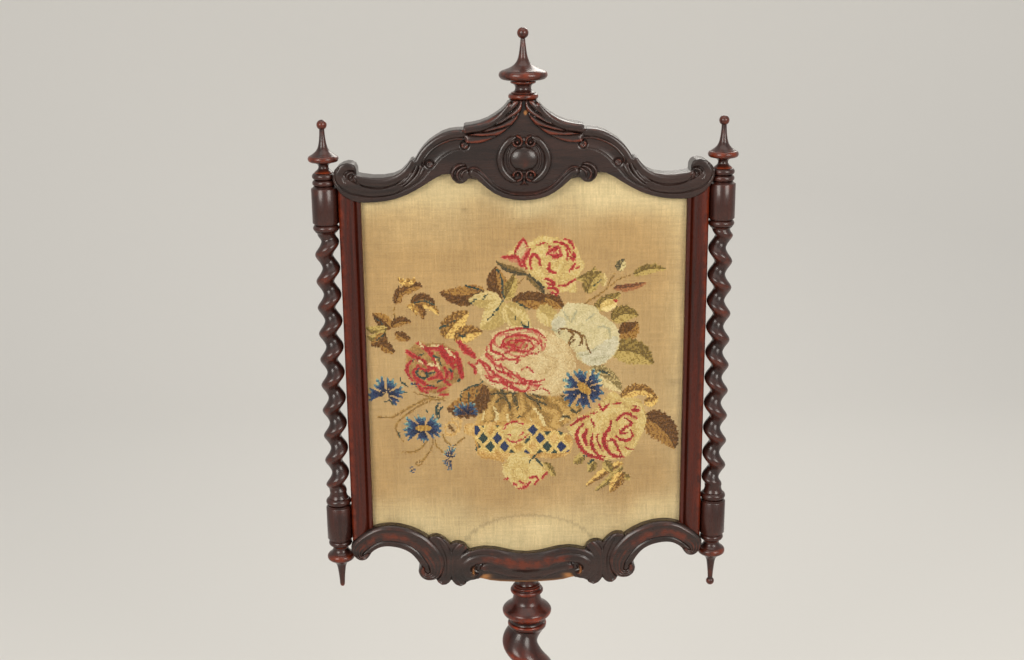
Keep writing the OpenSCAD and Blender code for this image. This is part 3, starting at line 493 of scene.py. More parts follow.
stem = {"rail": 594.0, "neck": 8.0, "ring": 24.5, "bulbHeight": 74.0, "hub": 262.0, "footHeight": 46.0,
        "spigot": 12.0, "spigotLength": 32.0, "tenon": 14.0, "tenonLength": 60.0, "hand": -1, "pitch": 77.8,
        "phase": 330, "throw": 10.2, "strand": 27.2, "pinch": 0.1, "fade": 11,
        # redder below the bulb's edge, darker on its shoulder: height above the twist and how much
        "toneByHeight": ([10, 13, 14, 17, 19, 24, 32, 38, 54], [0.3, 0.3, -0.6, -0.6, 0.35, 0.4, 0.3, -0.5, -0.2])}
stemLow = stem["hub"] + stem["footHeight"]
stemTop = stem["rail"] - stem["neck"] - stem["bulbHeight"]


def stemProfile(s):
    # from the tenon in the hub up: a turned foot, the twist's core, flange, bulb and neck, ring, and the
    # spigot
    hub, low, u, t, end = s["hub"], stemLow, stemTop, s["rail"] - s["neck"], s["rail"] + s["spigotLength"]
    core = np.linspace(low + 1, u - 1, int((u - low) / 1.4))
    flange = [(26.6, 0.5), (28.2, 5), (28.9, 9), (28.7, 11.4), (27.4, 12.7)]
    bulb = [(24.8, 16.8), (27.4, 19.2), (31.6, 22.8), (35.2, 26.6), (36.6, 30.2), (36.2, 33.6), (33.4, 37.2),
            (28.4, 41), (23.8, 45), (21.4, 49.5), (20.3, 54.5), (19.8, 60)]
    return profileOf(
        [[0, hub - s["tenonLength"]], [s["tenon"], hub - s["tenonLength"]], [s["tenon"], hub + 0.1]],
        [[29, hub + 0.1]], bead(32, hub + 0.3, hub + 9), hollow([28, hub + 9.5], [24, hub + 24], 3),
        bead(28, hub + 24.2, hub + 31), [[25, hub + 31.4], [25, hub + 33.5]], bead(31, hub + 34, hub + 44),
        [[26, low]],
        np.stack([np.full_like(core, 27.0), core], 1), [[26.2, u]],
        smoothLine([(r, u + z) for r, z in flange], 12),
        [[25.6, u + 13.2], [24.6, u + 14.6], [24.4, u + 16.2]],
        smoothLine([(r, u + z) for r, z in bulb], 44), bead(s["ring"], u + 60.3, u + 67.8),
        [[20.6, u + 68], [20.6, u + 69]], bead(20.8, u + 69.1, u + 71.6, 8),
        [[18.4, u + 71.8], [18.4, t - 0.4], [17.6, t], [s["spigot"] + 2, t + 0.1], [s["spigot"], t + 4]],
        [[s["spigot"], end], [0, end]])


twist = dict(stem, z0=stemLow - 5, low=stemLow - 4, top=stemTop + 8)
verts, faces, wear = lathe(stemProfile(stem), 80, 0, twist)
wear = np.clip(wear + np.interp(verts[:, 2] - stemTop, *stem["toneByHeight"], left=0, right=0), -1, 1)
makePiece("twistStem", verts, faces, "stand", stemMahogany, ["pole"], {"wear": wear})

# finials: a ring, a waist, a rounded disc and a flaring spike with a ball; radius and height above the seat
disc = np.radians(np.linspace(-80, 80, 16))
finials = {
    "crestSeat": 1304.0, "rubbed": 0.32,
    "crest": profileOf(
        [[0, 0.1], [19, 0.1]], bead(20.6, 0.3, 8.2), [[16.8, 8.4], [16.8, 9.6]],
        smoothLine([(15, 9.9), (12, 12), (10.9, 15.2), (11.6, 18.6), (14.6, 21.2)], 14),
        bead(17.4, 21.4, 25.2, 8),
        [[16.8, 25.4], [21, 25.9]],
        smoothLine([(25.6, 26.2), (30, 27.6), (32.7, 30.6), (33.2, 33.4), (32, 36.6), (29, 38.8)], 18),
        [[27, 39.4]],
        smoothLine([(26, 39.7), (20, 42), (14, 45.2), (9.8, 49.4), (7.3, 54), (5.7, 60), (4.5, 68), (3.5, 76),
                    (3.1, 81)], 30), ball(88.25, 7.75, -64)),
    "top": profileOf(
        [[0, 0.1], [13.2, 0.1]],
        smoothLine([(13.2, 0.3), (11.4, 2.2), (8.2, 5), (6.9, 8.4), (8, 11.6), (11.4, 13.4)], 14),
        [[13.2, 14.2], [15.4, 14.6]], np.stack([16.6 + 4.5 * np.cos(disc), 19.3 + 4.6 * np.sin(disc)], 1),
        smoothLine([(17, 24.2), (13.2, 26.8), (9.3, 30.4), (6.8, 34.8), (5.3, 40.4), (4.3, 47), (3.7, 54),
                    (3.5, 59.2)], 26), ball(65.5, 7.0, -60)),
    "drop": profileOf(
        [[0, 0.1], [12.6, 0.1]],
        smoothLine([(12.4, 0.4), (11.4, 2.6), (11.6, 5.4), (13.4, 8.6), (16.4, 11.4)], 14),
        [[17, 11.6]], smoothLine([(17.6, 12), (19.4, 14.2), (20, 17.2), (19, 20.2), (16.4, 22.4)], 14),
        [[15, 23]],
        smoothLine([(14.4, 23.2), (11, 25.6), (8.2, 29), (6.4, 34), (5.2, 42), (4.2, 52), (3.5, 62.6)], 24))}
# its ball is broken off
brokenDrop = profileOf(finials["drop"][:-1], [[3.4, 63], [2.6, 65.2], [1.2, 66], [0, 66]])
wholeDrop = profileOf(finials["drop"], ball(68, 6.0, -55))
for name, profile, cx, seat, way in (
        ("crestFinial", finials["crest"], 0, finials["crestSeat"], 1),
        ("leftTopFinial", finials["top"], -columns["x"], columns["head"], 1),
        ("rightTopFinial", finials["top"], columns["x"], columns["head"], 1),
        ("leftDropFinial", brokenDrop, -columns["x"], columns["foot"], -1),
        ("rightDropFinial", wholeDrop, columns["x"], columns["foot"], -1)):
    turning = np.stack([profile[:, 0], seat + way * profile[:, 1]], 1)[::way]
    verts, faces, wear = lathe(turning, 64, cx, rubbed=finials["rubbed"])
    cadName = "".join("_" + c.lower() if c.isupper() else c for c in name)
    makePiece(name, verts, faces, "screen", turnedMahogany, [cadName], {"wear": wear})

# hub and the drop under it, turned; heights from the floor, and below the hub's foot
bulge = np.radians(np.linspace(-50, 50, 14))
standTurning = {
    "foot": 150,
    "hub": profileOf(
        [[0, 150], [26, 150]], bead(34, 150.5, 160),
        [[32, 160.5], [32, 162], [34.5, 163], [36, 165], [36, 239], [35.2, 240.4]],
        hollow([35, 241], [32, 251], 3), bead(35, 251.5, 262), [[0, 262]]),
    "drop": profileOf(
        [[0, 0.1], [18, 0.1]], bead(20, 0.3, 7), hollow([15, 7.5], [16, 14], 2),
        np.stack([14 + 9 * np.cos(bulge), 24 + 11 * np.sin(bulge)], 1), hollow([15, 34], [5, 42], 2),
        ball(46.5, 5.5, -50))}
under = np.stack([standTurning["drop"][:, 0], standTurning["foot"] - standTurning["drop"][:, 1]], 1)[::-1]
for name, turning, cadName in (("baseHub", standTurning["hub"], "base_hub"),
                               ("baseDrop", under, "base_drop")):
    verts, faces, wear = lathe(turning)
    makePiece(name, verts, faces, "stand", stemMahogany, [cadName], {"wear": wear})
print("columns, stem and finials turned")


# the rails' common measures: depths from the stem's axis, and the outline of the panel that their backs are
# cut for
frameDepth = {"front": -16.0, "back": 14.0, "lip": -7.0}
panel = {"half": 231.5, "top": 1213.6, "topFlat": 99, "topCorner": 1183.9,
         "low": 634.4, "lowFlat": 94, "lowCorner": 678.4}


def backDepth(x, z, cope):
    # back of a rail: cut forward to the lip inside the panel's outline, and hollowed round the columns
    ax = np.abs(x)
    slope = lambda x0, z0, x1, z1: (
        ((z - z0) * (x1 - x0) - (ax - x0) * (z1 - z0)) / math.hypot(x1 - x0, z1 - z0))
    inside = np.minimum.reduce([
        panel["half"] - ax, panel["top"] - z, z - panel["low"],
        slope(panel["half"], panel["topCorner"], panel["topFlat"], panel["top"]),
        slope(panel["lowFlat"], panel["low"], panel["half"], panel["lowCorner"])])
    cut = eased(np.clip(inside / 1.2 + 0.5, 0, 1))
    y = frameDepth["back"] + (frameDepth["lip"] - frameDepth["back"]) * cut
    off = np.abs(ax - columns["x"])
    return np.where(off < cope, np.minimum(y, -np.sqrt(np.maximum(cope ** 2 - off ** 2, 0))), y)


def edgeFall(d, width=1.8, drop=1.3):
    # rounds the rim of a relief: the drop at the edge, nothing beyond the width
    t = np.clip(1 - d / width, 0, 1)
    return drop * (1 - np.sqrt(np.maximum(1 - t * t, 0)))


def carvedBlock(shape, relief):
    # one half of a rail on a grid, where row t stands at low + t (top - low), mirrored to the other half and
    # given its back; with the points and quads come the front's wear, and its x and z in the carving's own
    # measure
    top, low = np.array(shape["top"]), np.array(shape["low"])
    (scaleX, scaleZ), seat = shape["scale"], shape["z"]
    # columns on both sides of a step in the outline
    besides = [s + e for s in shape["steps"] for e in (-0.15, 0.15)]
    xs = np.unique(np.concatenate([np.linspace(0, top[-1, 0], shape["columns"]), besides]))
    t = np.linspace(0, 1, shape["rows"])
    t = t - 0.033 * np.sin(2 * np.pi * t)                              # rows closer together along the edges
    lo, hi = np.interp(xs, *low.T), np.interp(xs, *top.T)
    x = np.repeat(xs[:, None], len(t), 1)
    z = lo[:, None] + t[None, :] * (hi - lo)[:, None]
    h = relief(x.ravel(), z.ravel()).reshape(x.shape)
    # long handling has run the rolls together
    if "soften" in shape:
        reach, foot = shape["soften"]
        h = h + (np.exp(-(x / reach) ** 4) * np.clip((z - foot) / 6, 0, 1)
                 * (blurred(blurred(h, 5, 5), 5, 5) - h))
    rim = np.minimum(nearest(top, x.ravel(), z.ravel())[0], nearest(low, x.ravel(), z.ravel())[0])
    h = h - edgeFall(rim).reshape(x.shape)
    wear = wearFrom(h, 5, 7, 2.2)
    x, z, h, wear = (np.vstack([sign * a[:0:-1], a]) for a, sign in ((x, -1), (z, 1), (h, 1), (wear, 1)))
    px, pz = x * scaleX, seat + z * scaleZ
    # back rows: three below and three above the rebate's edge, which is the outline of the panel
    edge = np.interp(np.abs(px[:, 0]), *shape["rebate"])
    foot, head = pz[:, 0], pz[:, -1]
    a, b = np.clip(edge - 0.7, foot, head), np.clip(edge + 0.7, foot, head)
    backZ = np.stack([foot, (foot + a) / 2, a, b, (b + head) / 2, head], 1)
    backX = np.repeat(px[:, :1], 6, 1)
    verts, faces = slab(np.stack([px, frameDepth["front"] - h, pz], -1),
                        np.stack([backX, backDepth(backX, backZ, shape["cope"]), backZ], -1))
    return verts, faces, wear, x, z


def button(x, z):
    # small dome in a sunk ring, with a curl cut in it
    curl = [(x - 2.2, z + 1), (x, z + 2.4), (x + 2.2, z + 0.6), (x + 1.2, z - 1.4), (x - 0.6, z - 0.8)]
    return [(boss, x, z, 5.2, 3.4, 0.9), (groove, curl, 0.7, 1.1)]


# crest: outlines and cuts, x outward from the middle and z up from the crest's lower corners; a ridge has its
# line, half-width, height, narrowing at both ends and power, a groove its line, half-width and depth
crest = {
    "z": 1167.5, "scale": (550 / 555, 136.5 / 138), "columns": 340, "rows": 134, "cope": 18.9,
    "steps": [82.35, 151.6, 230.6], "chip": (2.4, 121.5, 2.6),
    "rebate": [(panel["topFlat"], panel["half"]), (panel["top"], panel["topCorner"])],
    "top": [(0, 138), (16, 138), (21.4, 135.5), (25, 130.4), (30.5, 125.2), (38.2, 119.6), (49.2, 113.2),
            (60.1, 109.2), (71, 106.8), (80.5, 105.5), (82.2, 104.6), (82.5, 99.9), (92, 99.6), (102, 98.4),
            (112, 95.1), (121.7, 89.6), (130.5, 83.6), (139, 75.4), (145, 67.6), (149.2, 60.4),
            (151.6, 57.4), (153.2, 59.2), (156.2, 58.3), (162.6, 49.5), (170.5, 41.8), (180.3, 37.1),
            (194.8, 34.7), (209.3, 34.8), (224.6, 36.9), (230.4, 38.4), (230.8, 46.6), (233.4, 52),
            (237.4, 54.6), (243.5, 55.6), (250.9, 53.6), (256.8, 49.8), (260.8, 45.9), (263.4, 40)],
    "low": [(0, 0.6), (15, 1.8), (30, 5.4), (42, 11.4), (53, 19.4), (60, 25.6), (66, 29.6), (74, 31.6),
            (77.2, 31.4), (79.6, 28.4), (84, 25.2), (88.6, 24.4), (93.4, 25.4), (97.6, 28.6), (100.2, 33.4),
            (101.4, 37.6), (106, 38.4), (113, 37.4), (124, 32), (136, 24.4), (149.4, 16.4), (163, 9.6),
            (177, 4.8), (190, 1.8), (203, 0.2), (217, -0.4), (230, 0.2), (240, 3.4), (250, 9.2), (258, 18),
            (262, 25.4), (263.4, 31)],
    "leafLow": [(1.6, 137), (2, 132), (2.8, 127), (5.6, 120), (9, 113.5), (16, 105.1), (23.8, 98.3),
                (32.6, 92.1), (41.6, 87.2), (51.4, 83.3), (61.2, 80.7), (71.8, 80.4), (79, 81.5),
                (82.6, 85.4)],
    "leafTop": [(13.6, 138), (16.6, 132.6), (21.8, 125), (31, 112.9), (36.2, 108.7), (46, 102.1),
                (55.6, 97.6), (66.3, 94.5), (75.2, 93), (83.2, 92.4)],
    "leafStarts": [-0.5, -0.1, 0.12, 0.33, 0.54, 1.1],
    "channel": [(130, 56), (124, 63), (116, 70), (106, 75.6), (95, 79), (85, 80)],
    "rolls": [
        # incised line below the channel and a thin raised edge above it
        (groove, [(123, 51.0), (118, 57), (110, 63.8), (100, 69.2), (87.5, 72.8)], 0.8, 1.2),
        (ridge, [(137.4, 50.6), (138.2, 57.2), (133.6, 64.4), (126, 72.6), (117.3, 78.6), (108.5, 82.8),
                 (99.7, 85.6), (90.9, 87), (82.4, 86.4), (78, 83)], 1.9, 3.0, (0.1, 0.1)),
        # the three rolls of the upper edge
        (ridge, [(20.5, 131), (26.5, 122.8), (33, 116), (41, 110.2), (50, 105.4), (60, 102.2), (70, 100.6),
                 (80.5, 99.4)], 6.6, 7.4),
        (ridge, [(84.5, 94.2), (98, 93), (109, 90), (120, 84.6), (129.5, 77.6), (138, 68.8), (143.8, 60),
                 (145.6, 56)], 5.8, 5.2, (0, 0), 0.45),
        (ridge, [(153.3, 55.5), (158, 48), (165.5, 40), (177, 32.8), (191, 28.6), (201, 27.8), (212, 28.6),
                 (223.4, 31.2), (230, 34.4)], 7.2, 5.8, (0, 0), 0.45),
        *button(129.8, 51.8), *button(81.2, 77.4)],
    "scrolls": [
        # roll along the lower edge, thin-edged above, from the small scroll down to the middle
        (ridge, [(77, 38.6), (71, 40), (64.5, 38), (57.5, 31.6), (50, 24), (41, 16.2), (30, 10), (16, 6.2),
                 (0, 4.8)], 6.8, 5.2, (0.06, 0)),
        (ridge, [(78.6, 43.6), (73.4, 46.2), (66.6, 46.6), (60, 42.6), (50.6, 32.4), (40, 22.4), (29, 15),
                 (14, 10), (0, 8.4)], 1.7, 5.4, (0.08, 0)),
        (groove, [(70, 43.6), (62, 39.4), (54, 31.4), (46, 23.4), (36, 15.8), (24, 10.8), (12, 8.2),
                  (0, 7.2)], 0.7, 1.5),
        # small scroll: nested crescents round a shallow bowl
        (boss, 88.4, 37.4, 12.4, 2.4),
        (ridge, [(79, 50.6), (87, 51), (94.6, 47.4), (99, 40.4), (98, 32.6), (92, 27)], 2.7, 6.0,
                 (0.25, 0.3)),
        (ridge, [(77.4, 47.8), (84.6, 47), (90.6, 42.6), (92.6, 36.4), (89.4, 30.4), (84, 28.4)], 2.5, 5.6,
                 (0.25, 0.3)),
        (ridge, [(75.6, 44.6), (81.4, 43), (85.4, 39), (85.8, 34.4), (83, 31)], 2.2, 5.0, (0.25, 0.35)),
        # leaf band under the outer roll, flat and broad, curling up round the end, with lobes beside the
        # second roll
        (ridge, [(166, 25), (178, 20.2), (190, 16.9), (202, 15.6), (215, 16.2), (228, 18.8), (240, 22.8),
                 (249.6, 29.6), (254.4, 38), (251, 45.6), (244, 49.6), (237, 48.8), (232.6, 45)], 7.4, 3.0,
                 (0.1, 0.12), 0.35),
        (ridge, [(149, 57), (147, 51.4), (149.6, 44.4), (154, 36.8), (161.6, 28.4), (172, 21)], 2.7, 3.8,
                 (0.15, 0.3)),
        (ridge, [(144.6, 55.8), (142.4, 48.4), (145.2, 40.4), (151, 32.4), (160, 24.6), (170, 18.2)], 2.6,
                 3.5, (0.15, 0.3)),
        (ridge, [(139, 51.4), (139.6, 44.2), (144.4, 36.6), (152.6, 28.2), (162, 21)], 2.4, 2.8,
                 (0.2, 0.35)),
        (ridge, [(154.4, 44.6), (157.8, 37.4), (165, 29.8), (174, 23.6)], 2.4, 4.1, (0.15, 0.35)),
        (ridge, [(161, 37), (165.6, 31.4), (172.4, 26.4), (182, 21)], 2.2, 4.0, (0.15, 0.4)),
        (groove, [(170.6, 30.4), (177.6, 25.2), (188.5, 21.2), (200.2, 19.4), (213.6, 20.8), (222.2, 23.4),
                  (229, 28.4), (232, 34)], 0.8, 1.3),
        # end scroll: two low crescents round its eye, and the line along the lower edge
        (groove, [(247.4, 29), (249, 35), (247.4, 41), (243, 44.4), (238.4, 44.6), (233.4, 42)], 1.0, 1.2),
        (ridge, [(233, 40.6), (238, 41.8), (242.6, 39.6), (244, 34.6), (241.6, 30.4)], 2.0, 3.4, (0.2, 0.3)),
        (groove, [(235.4, 37.6), (239, 37.6), (240.8, 34.6), (239.4, 31.8)], 0.8, 1.1),
        (groove, [(131, 43), (140, 32.6), (150, 25), (160, 19.4), (173, 13.8), (186, 10), (200.5, 8.2),
                  (215, 8), (229.5, 9.8), (243.8, 14), (254, 21.5), (259.6, 31), (260, 41), (255, 48.6)],
                  0.9, 1.2)]}


def crestRelief(x, z):
    # height of the carving above the flat ground
    h = np.zeros_like(x)
    p = smoothLine(crest["channel"])                                  # sunk channel under the second roll
    sel = near(p, 9, x, z)
    h[sel] -= 1.5 * np.clip(1 - (nearest(p, x[sel], z[sel])[0] / 8.4) ** 2, 0, 1)
    cutAll(h, x, z, crest["rolls"])
    # leaves under the first roll: a band between two curves, cut into long ribbons that lie over one another;
    # s runs along the band, w across it, and each ribbon climbs from the lower edge to the roll over 0.40 of
    # the length
    lower, upper = smoothLine(crest["leafLow"]), smoothLine(crest["leafTop"])
    sel = (x < 84) & (z > 78) & (z > np.interp(x, *lower.T)) & (z < np.interp(x, *upper.T, left=140))
    d0, s0 = nearest(lower, x[sel], z[sel])
    d1, s1 = nearest(upper, x[sel], z[sel])
    w = d0 / np.maximum(d0 + d1, 1e-6)
    s = s0 * (1 - w) + s1 * w
    f = np.interp(s - 0.40 * w ** 1.5, crest["leafStarts"], range(6)) % 1
    lobe = (np.sin(np.pi / 2 * np.minimum(f / 0.8, 1))
            * np.sqrt(1 - 0.95 * np.clip((f - 0.8) / 0.2, 0, 1) ** 2))
    rise = (2.4 + 4.2 * lobe) * np.minimum(1, w / 0.12) ** 0.5 * np.clip((1 - s) / 0.05, 0, 1) ** 0.5
    h[sel] = np.maximum(h[sel], 0.6 + rise)
    cutAll(h, x, z, crest["scrolls"])
    return h


verts, faces, wear, cx, cz = carvedBlock(crest, crestRelief)
wear = wear * np.interp(cz, [45, 78], [0.45, 1])                      # dusters reach the upper edge most
chipX, chipZ, chipSize = crest["chip"]                                # small bare chip below the finial
chip = np.exp(-((cx - chipX) ** 2 + ((cz - chipZ) * 0.7) ** 2) / chipSize ** 2)
bare = np.clip(chip * 1.6 - 0.4, 0, 1)
makePiece("crestCarving", verts, faces, "screen", carvedMahogany, ["crest_rail"],
          {"wear": frontOnly(wear, verts), "bare": frontOnly(bare, verts)}, capped=True)


def curledEnd(z, way):
    # ring of a C-scroll's end that winds into a button
    ring = [(9, z + way * 8), (4.2, z + way * 5.4), (3.0, z - way * 0.4), (6.6, z - way * 5.2),
            (12.4, z - way * 4.4), (14.8, z + way * 0.6), (11.6, z + way * 3.8)]
    return [(ridge, ring, 2.2, 6.2, (0.0, 0.2)), (boss, 9.0, z - way * 0.4, 2.7, 5.6, 0.5)]


# cartouche: a disc whose relief is two facing C-scrolls round a polished boss; x outward and z up from its
# middle
sweep = np.radians(np.linspace(76, -75, 14))
cartouche = {
    "z": 57.6, "wide": 38.2, "high": 37.4, "around": 200, "rings": 104, "thick": 4, "boss": (19.8, 17.4, 0.6),
    "scrolls": [
        (ridge, np.stack([33.2 * np.cos(sweep), 32.4 * np.sin(sweep)], 1), 5.4, 6.0, (0.16, 0.16)),
        (ridge, [(17, 19.6), (21.6, 10), (23, -1), (21, -11), (16, -19)], 1.4, 1.9, (0.3, 0.3)),
        *curledEnd(24.0, 1), *curledEnd(-21.4, -1)],
    "tails": [
        (ridge, [(0, -18.6), (0, -24), (0.3, -30), (2.4, -34), (6, -35)], 1.8, 4.8, (0.2, 0.3)),
        (ridge, [(0, 31), (0.3, 27.4), (1.6, 24)], 1.8, 4.4, (0.2, 0.3))]}


def cartoucheRelief(x, z):
    # height above the crest's ground: a hollow field, the scrolls, the boss and the scrolls' tails
    d = np.hypot(x / cartouche["wide"], z / cartouche["high"])
    h = 0.9 - 1.1 * np.exp(-((d - 0.66) / 0.13) ** 2)
    cutAll(h, np.abs(x), z, cartouche["scrolls"])
    wide, high, up = cartouche["boss"]
    e = np.clip(1 - (x / wide) ** 2 - ((z - up) / high) ** 2, 0, 1)
    np.maximum(h, 0.2 + 6.6 * e ** 0.62, out=h, where=e > 0.002)
    cutAll(h, np.abs(x), z, cartouche["tails"])
    return h - edgeFall((1 - d) * 37, 1.5, 1.2)


rho = np.linspace(1, 0, cartouche["rings"])[:, None]
phi = np.linspace(0, 2 * np.pi, cartouche["around"], endpoint=False)[None, :]
px, pz = cartouche["wide"] * rho * np.cos(phi), cartouche["high"] * rho * np.sin(phi)
height = cartoucheRelief(px.ravel(), pz.ravel()).reshape(px.shape)
wear = wearFrom(height, 4, 5, 3.2) + 0.4 * np.exp(-(px / 9) ** 2 - ((pz + 5) / 9) ** 2)   # the boss is rubbed
backY = np.full_like(px[:1], frameDepth["front"] + cartouche["thick"])
middle = np.zeros_like(backY)
verts = np.concatenate([np.stack([middle, backY, middle], -1), np.stack([px[:1], backY, pz[:1]], -1),
                        np.stack([px, frameDepth["front"] - height, pz], -1)], 0).reshape(-1, 3)
verts[:, 0] *= crest["scale"][0]
verts[:, 2] = crest["z"] + (cartouche["z"] + verts[:, 2]) * crest["scale"][1]
faces = gridFaces(cartouche["rings"] + 2, cartouche["around"], wrap=True)
wear = np.concatenate([np.zeros((2, cartouche["around"])), wear], 0)
makePiece("crestCartouche", verts, faces, "screen", carvedMahogany, ["crest_cartouche"],
          {"wear": wear.ravel()})
print("crest carved")

# bottom rail's middle, laid out as the crest is
rail = {
    "z": 594.0, "scale": (550 / 555, 1.0), "columns": 190, "rows": 96, "cope": 20.4, "steps": [113.0],
    "soften": (58, 6), "rebate": [(panel["lowFlat"], panel["half"]), (panel["low"], panel["lowCorner"])],
    "top": [(0, 47.5), (16, 48.9), (25, 50.8), (34, 53), (48, 56.2), (63, 57.4), (75, 56), (83.6, 53.4),
            (86.4, 54), (89.4, 60.2), (94, 64.4), (99.4, 66.4), (106, 66.6), (111.6, 64.6), (113, 62.6),
            (116, 66.4), (121, 71.6), (127.2, 76.4), (133, 78.4), (140.4, 78), (144, 76.4)],
    "low": [(0, 0), (21, 0.6), (40, 1.6), (55, 3.6), (66, 6.6), (72, 7.6), (84, 6.9), (87, 5.6), (92, 0.6),
            (99.6, -2.4), (106.6, 0), (111.2, 4.6), (113, 6.6), (116, 3), (121, 0.4), (127, 0.4), (132.4, 4),
            (137, 9.2), (144, 12)],
    "lip": [(0, 4.6), (19, 6.0), (31, 11.4), (50, 16.8), (66, 15.6), (72, 8)], "lipEnd": 72,
    "mainRoll": [(0, 32), (22, 34), (38, 38), (52, 42), (66, 43)],
    "rolls": [
        # two leaves on either side of the crease beside the scroll, fluted along their length
        (ridge, [(128, 1.5), (121, 12), (117.8, 28), (118.8, 44), (124.4, 58), (133, 70), (139, 77)], 8.6,
                 4.4, (0, 0), 0.4),
        (ridge, [(98.5, -1), (105.6, 12), (108.4, 28), (107, 43), (101, 55), (94, 62)], 8.2, 4.4, (0, 0),
                 0.4),
        (groove, [(113.2, 8), (113.4, 24), (112.8, 44), (112.8, 62)], 1.6, 0.5),
        (groove, [(129, 6), (122.4, 17), (120.6, 30), (121.4, 44), (126, 58), (132, 70)], 2.2, 1.9),
        (groove, [(98, 2), (104.6, 14), (107.4, 28), (105.8, 42), (99, 54), (94, 61)], 2.2, 1.9),
        # bow moulding: bevelled top, the main roll that winds round its eye, a lower roll, with soft hollows
        # between
        (ridge, [(73.6, 10.6), (84, 9.6), (93, 14.4), (98.4, 22), (98.6, 30), (94.6, 38.6), (85.6, 45.6),
                 (73, 49.4), (60, 50), (46, 48), (32, 44), (16, 40.2), (0, 38.8)], 8.0, 4.6, (0.1, 0), 0.4),
        (ridge, [(74, 13.6), (82, 13), (88.6, 18), (90.6, 26), (87, 33.6), (78.6, 39.2), (66, 41), (52, 39),
                 (38, 34), (22, 29), (0, 27)], 9.0, 6.6, (0.1, 0)),
        (ridge, [(70.5, 24), (61, 26.8), (51, 25.4), (39, 20.6), (26, 15.4), (13, 12), (0, 10.8)], 6.4, 5.4,
                 (0.1, 0.6), 0.45),
        (ridge, [(52, 43.6), (40, 40), (28, 36.4), (14, 33.6), (0, 32.6)], 12.6, 7.8, (0.6, 0)),
        (groove, [(71, 31), (63, 34), (53, 33.4), (42, 28.6), (28, 22.6), (13, 18.6), (0, 17.6)], 1.4, 1.0),
        (groove, [(96, 36), (87, 43.6), (74, 47.2), (60, 47.6), (46, 45.4), (34, 41.6)], 1.2, 0.8),
        # crescent lip of the eye
        (ridge, [(76.4, 30.4), (80, 25.6), (80.4, 20), (76.6, 16.2), (71.6, 16.6)], 1.9, 6.8, (0.3, 0.3)),
        (groove, [(75, 26.6), (76.8, 22.8), (73.6, 20.2)], 1.3, 1.6)]}


def railRelief(x, z):
    # height of the carving on the middle of the bottom rail, with a plain lip under the bow, set back
    h = np.full_like(x, 0.6)
    cutAll(h, x, z, rail["rolls"])
    lip = np.interp(x, *np.array(rail["lip"]).T)
    t = np.clip((lip - z) / 1.2, 0, 1) * (x < rail["lipEnd"])
    return h * (1 - t) - 2.2 * t


railVerts, railFaces, railWear, cx, cz = carvedBlock(rail, railRelief)
ax = np.abs(cx)
lipLine = np.interp(ax, *np.array(rail["lip"] + [(rail["lipEnd"] + 1, -9)]).T)
lowEdge = np.interp(ax, *np.array(rail["low"]).T)
rubbedLip = np.clip(lipLine - cz, 0, 1) * (0.55 * np.exp(-((cz - lowEdge) / 2.6) ** 2)
                                           + 0.8 * np.exp(-((ax - 62) / 7) ** 2 - ((cz - 11) / 4) ** 2))
# crescent of the eye
rubbedLip += 0.7 * np.exp(-((ax - 79.6) / 1.6) ** 2 - ((cz - 21) / 5) ** 2)
rollLine = np.interp(ax, *np.array(rail["mainRoll"], float).T)
# the main roll is redder
redRoll = 0.9 * np.exp(-(cx / 62) ** 4 - ((cz - rollLine) / 9) ** 2)
railBare = frontOnly(np.clip(rubbedLip, 0, 1), railVerts)
railWear = frontOnly(np.clip(railWear + redRoll, -1, 1), railVerts)

# C-scroll of the rail: a moulded band between its outer and its inner edge, both winding into an eye at each
# end
scrollBand = {
    "outer": [(157.1, 31.9), (161.2, 25.6), (161.0, 19.6), (157.6, 13.5), (151.8, 9.4), (145.0, 8.1),
              (137.6, 9.0), (131, 12.4), (126.6, 17.6), (124.1, 23.6), (121.9, 36.4), (126.0, 50.8),
              (135.6, 64.6), (148.3, 77.6), (166.9, 88.4), (185.5, 94.6), (204.3, 96.6), (222.3, 93.8),
              (242.4, 83.0), (257.6, 70.0), (260.0, 60.0), (257.2, 50.4), (251.4, 44.2), (244.8, 42.2),
              (238.2, 43.7), (233.3, 48.7), (231.2, 52.7)],
    "inner": [(150.2, 26.2), (149.4, 25.2), (148.7, 24.4), (148.2, 23.8), (147.9, 23.4), (148.0, 23.2),
              (148.4, 23.6), (149.2, 24.4), (150.6, 25.8), (152.6, 27.6), (155.0, 29.6), (158.0, 32.2),
              (163.5, 41.3), (171.4, 50.6), (180.6, 56.8), (192, 61.0), (205.4, 63.0), (216.5, 61.8),
              (225.6, 57.4), (231.2, 52.9), (235.2, 52.2), (238.6, 51.8), (241.2, 52.0), (242.0, 52.6),
              (241.8, 53.2), (241.2, 53.6), (240.4, 53.8)],
    "along": 380, "across": 56, "backRows": 14, "flutes": (0.42, 0.60, 0.78)}


def bandRelief(w):
    # across the band, 0 at the inner edge and 1 at the outer: low roll, quirk, broad face rising to an edge,
    # bevel
    roll = 2.4 + 1.5 * np.sqrt(np.clip(1 - ((w - 0.12) / 0.14) ** 2, 0, 1))
    face = np.interp(w, [0.24, 0.32, 0.5, 0.7, 0.82, 0.86, 0.92, 1.0],
                     [2.9, 4.2, 5.6, 6.5, 6.9, 6.9, 5.6, 3.4])
    return np.where(w < 0.25, roll, face) - 0.9 * np.exp(-((w - 0.255) / 0.03) ** 2)


def bandGrid(w):
    # points of the band at the shares w of its width, from the inner to the outer edge
    g = inner[:, None] * (1 - w[None, :, None]) + outer[:, None] * w[None, :, None]
    return g[..., 0] * rail["scale"][0], rail["z"] + g[..., 1] * rail["scale"][1]


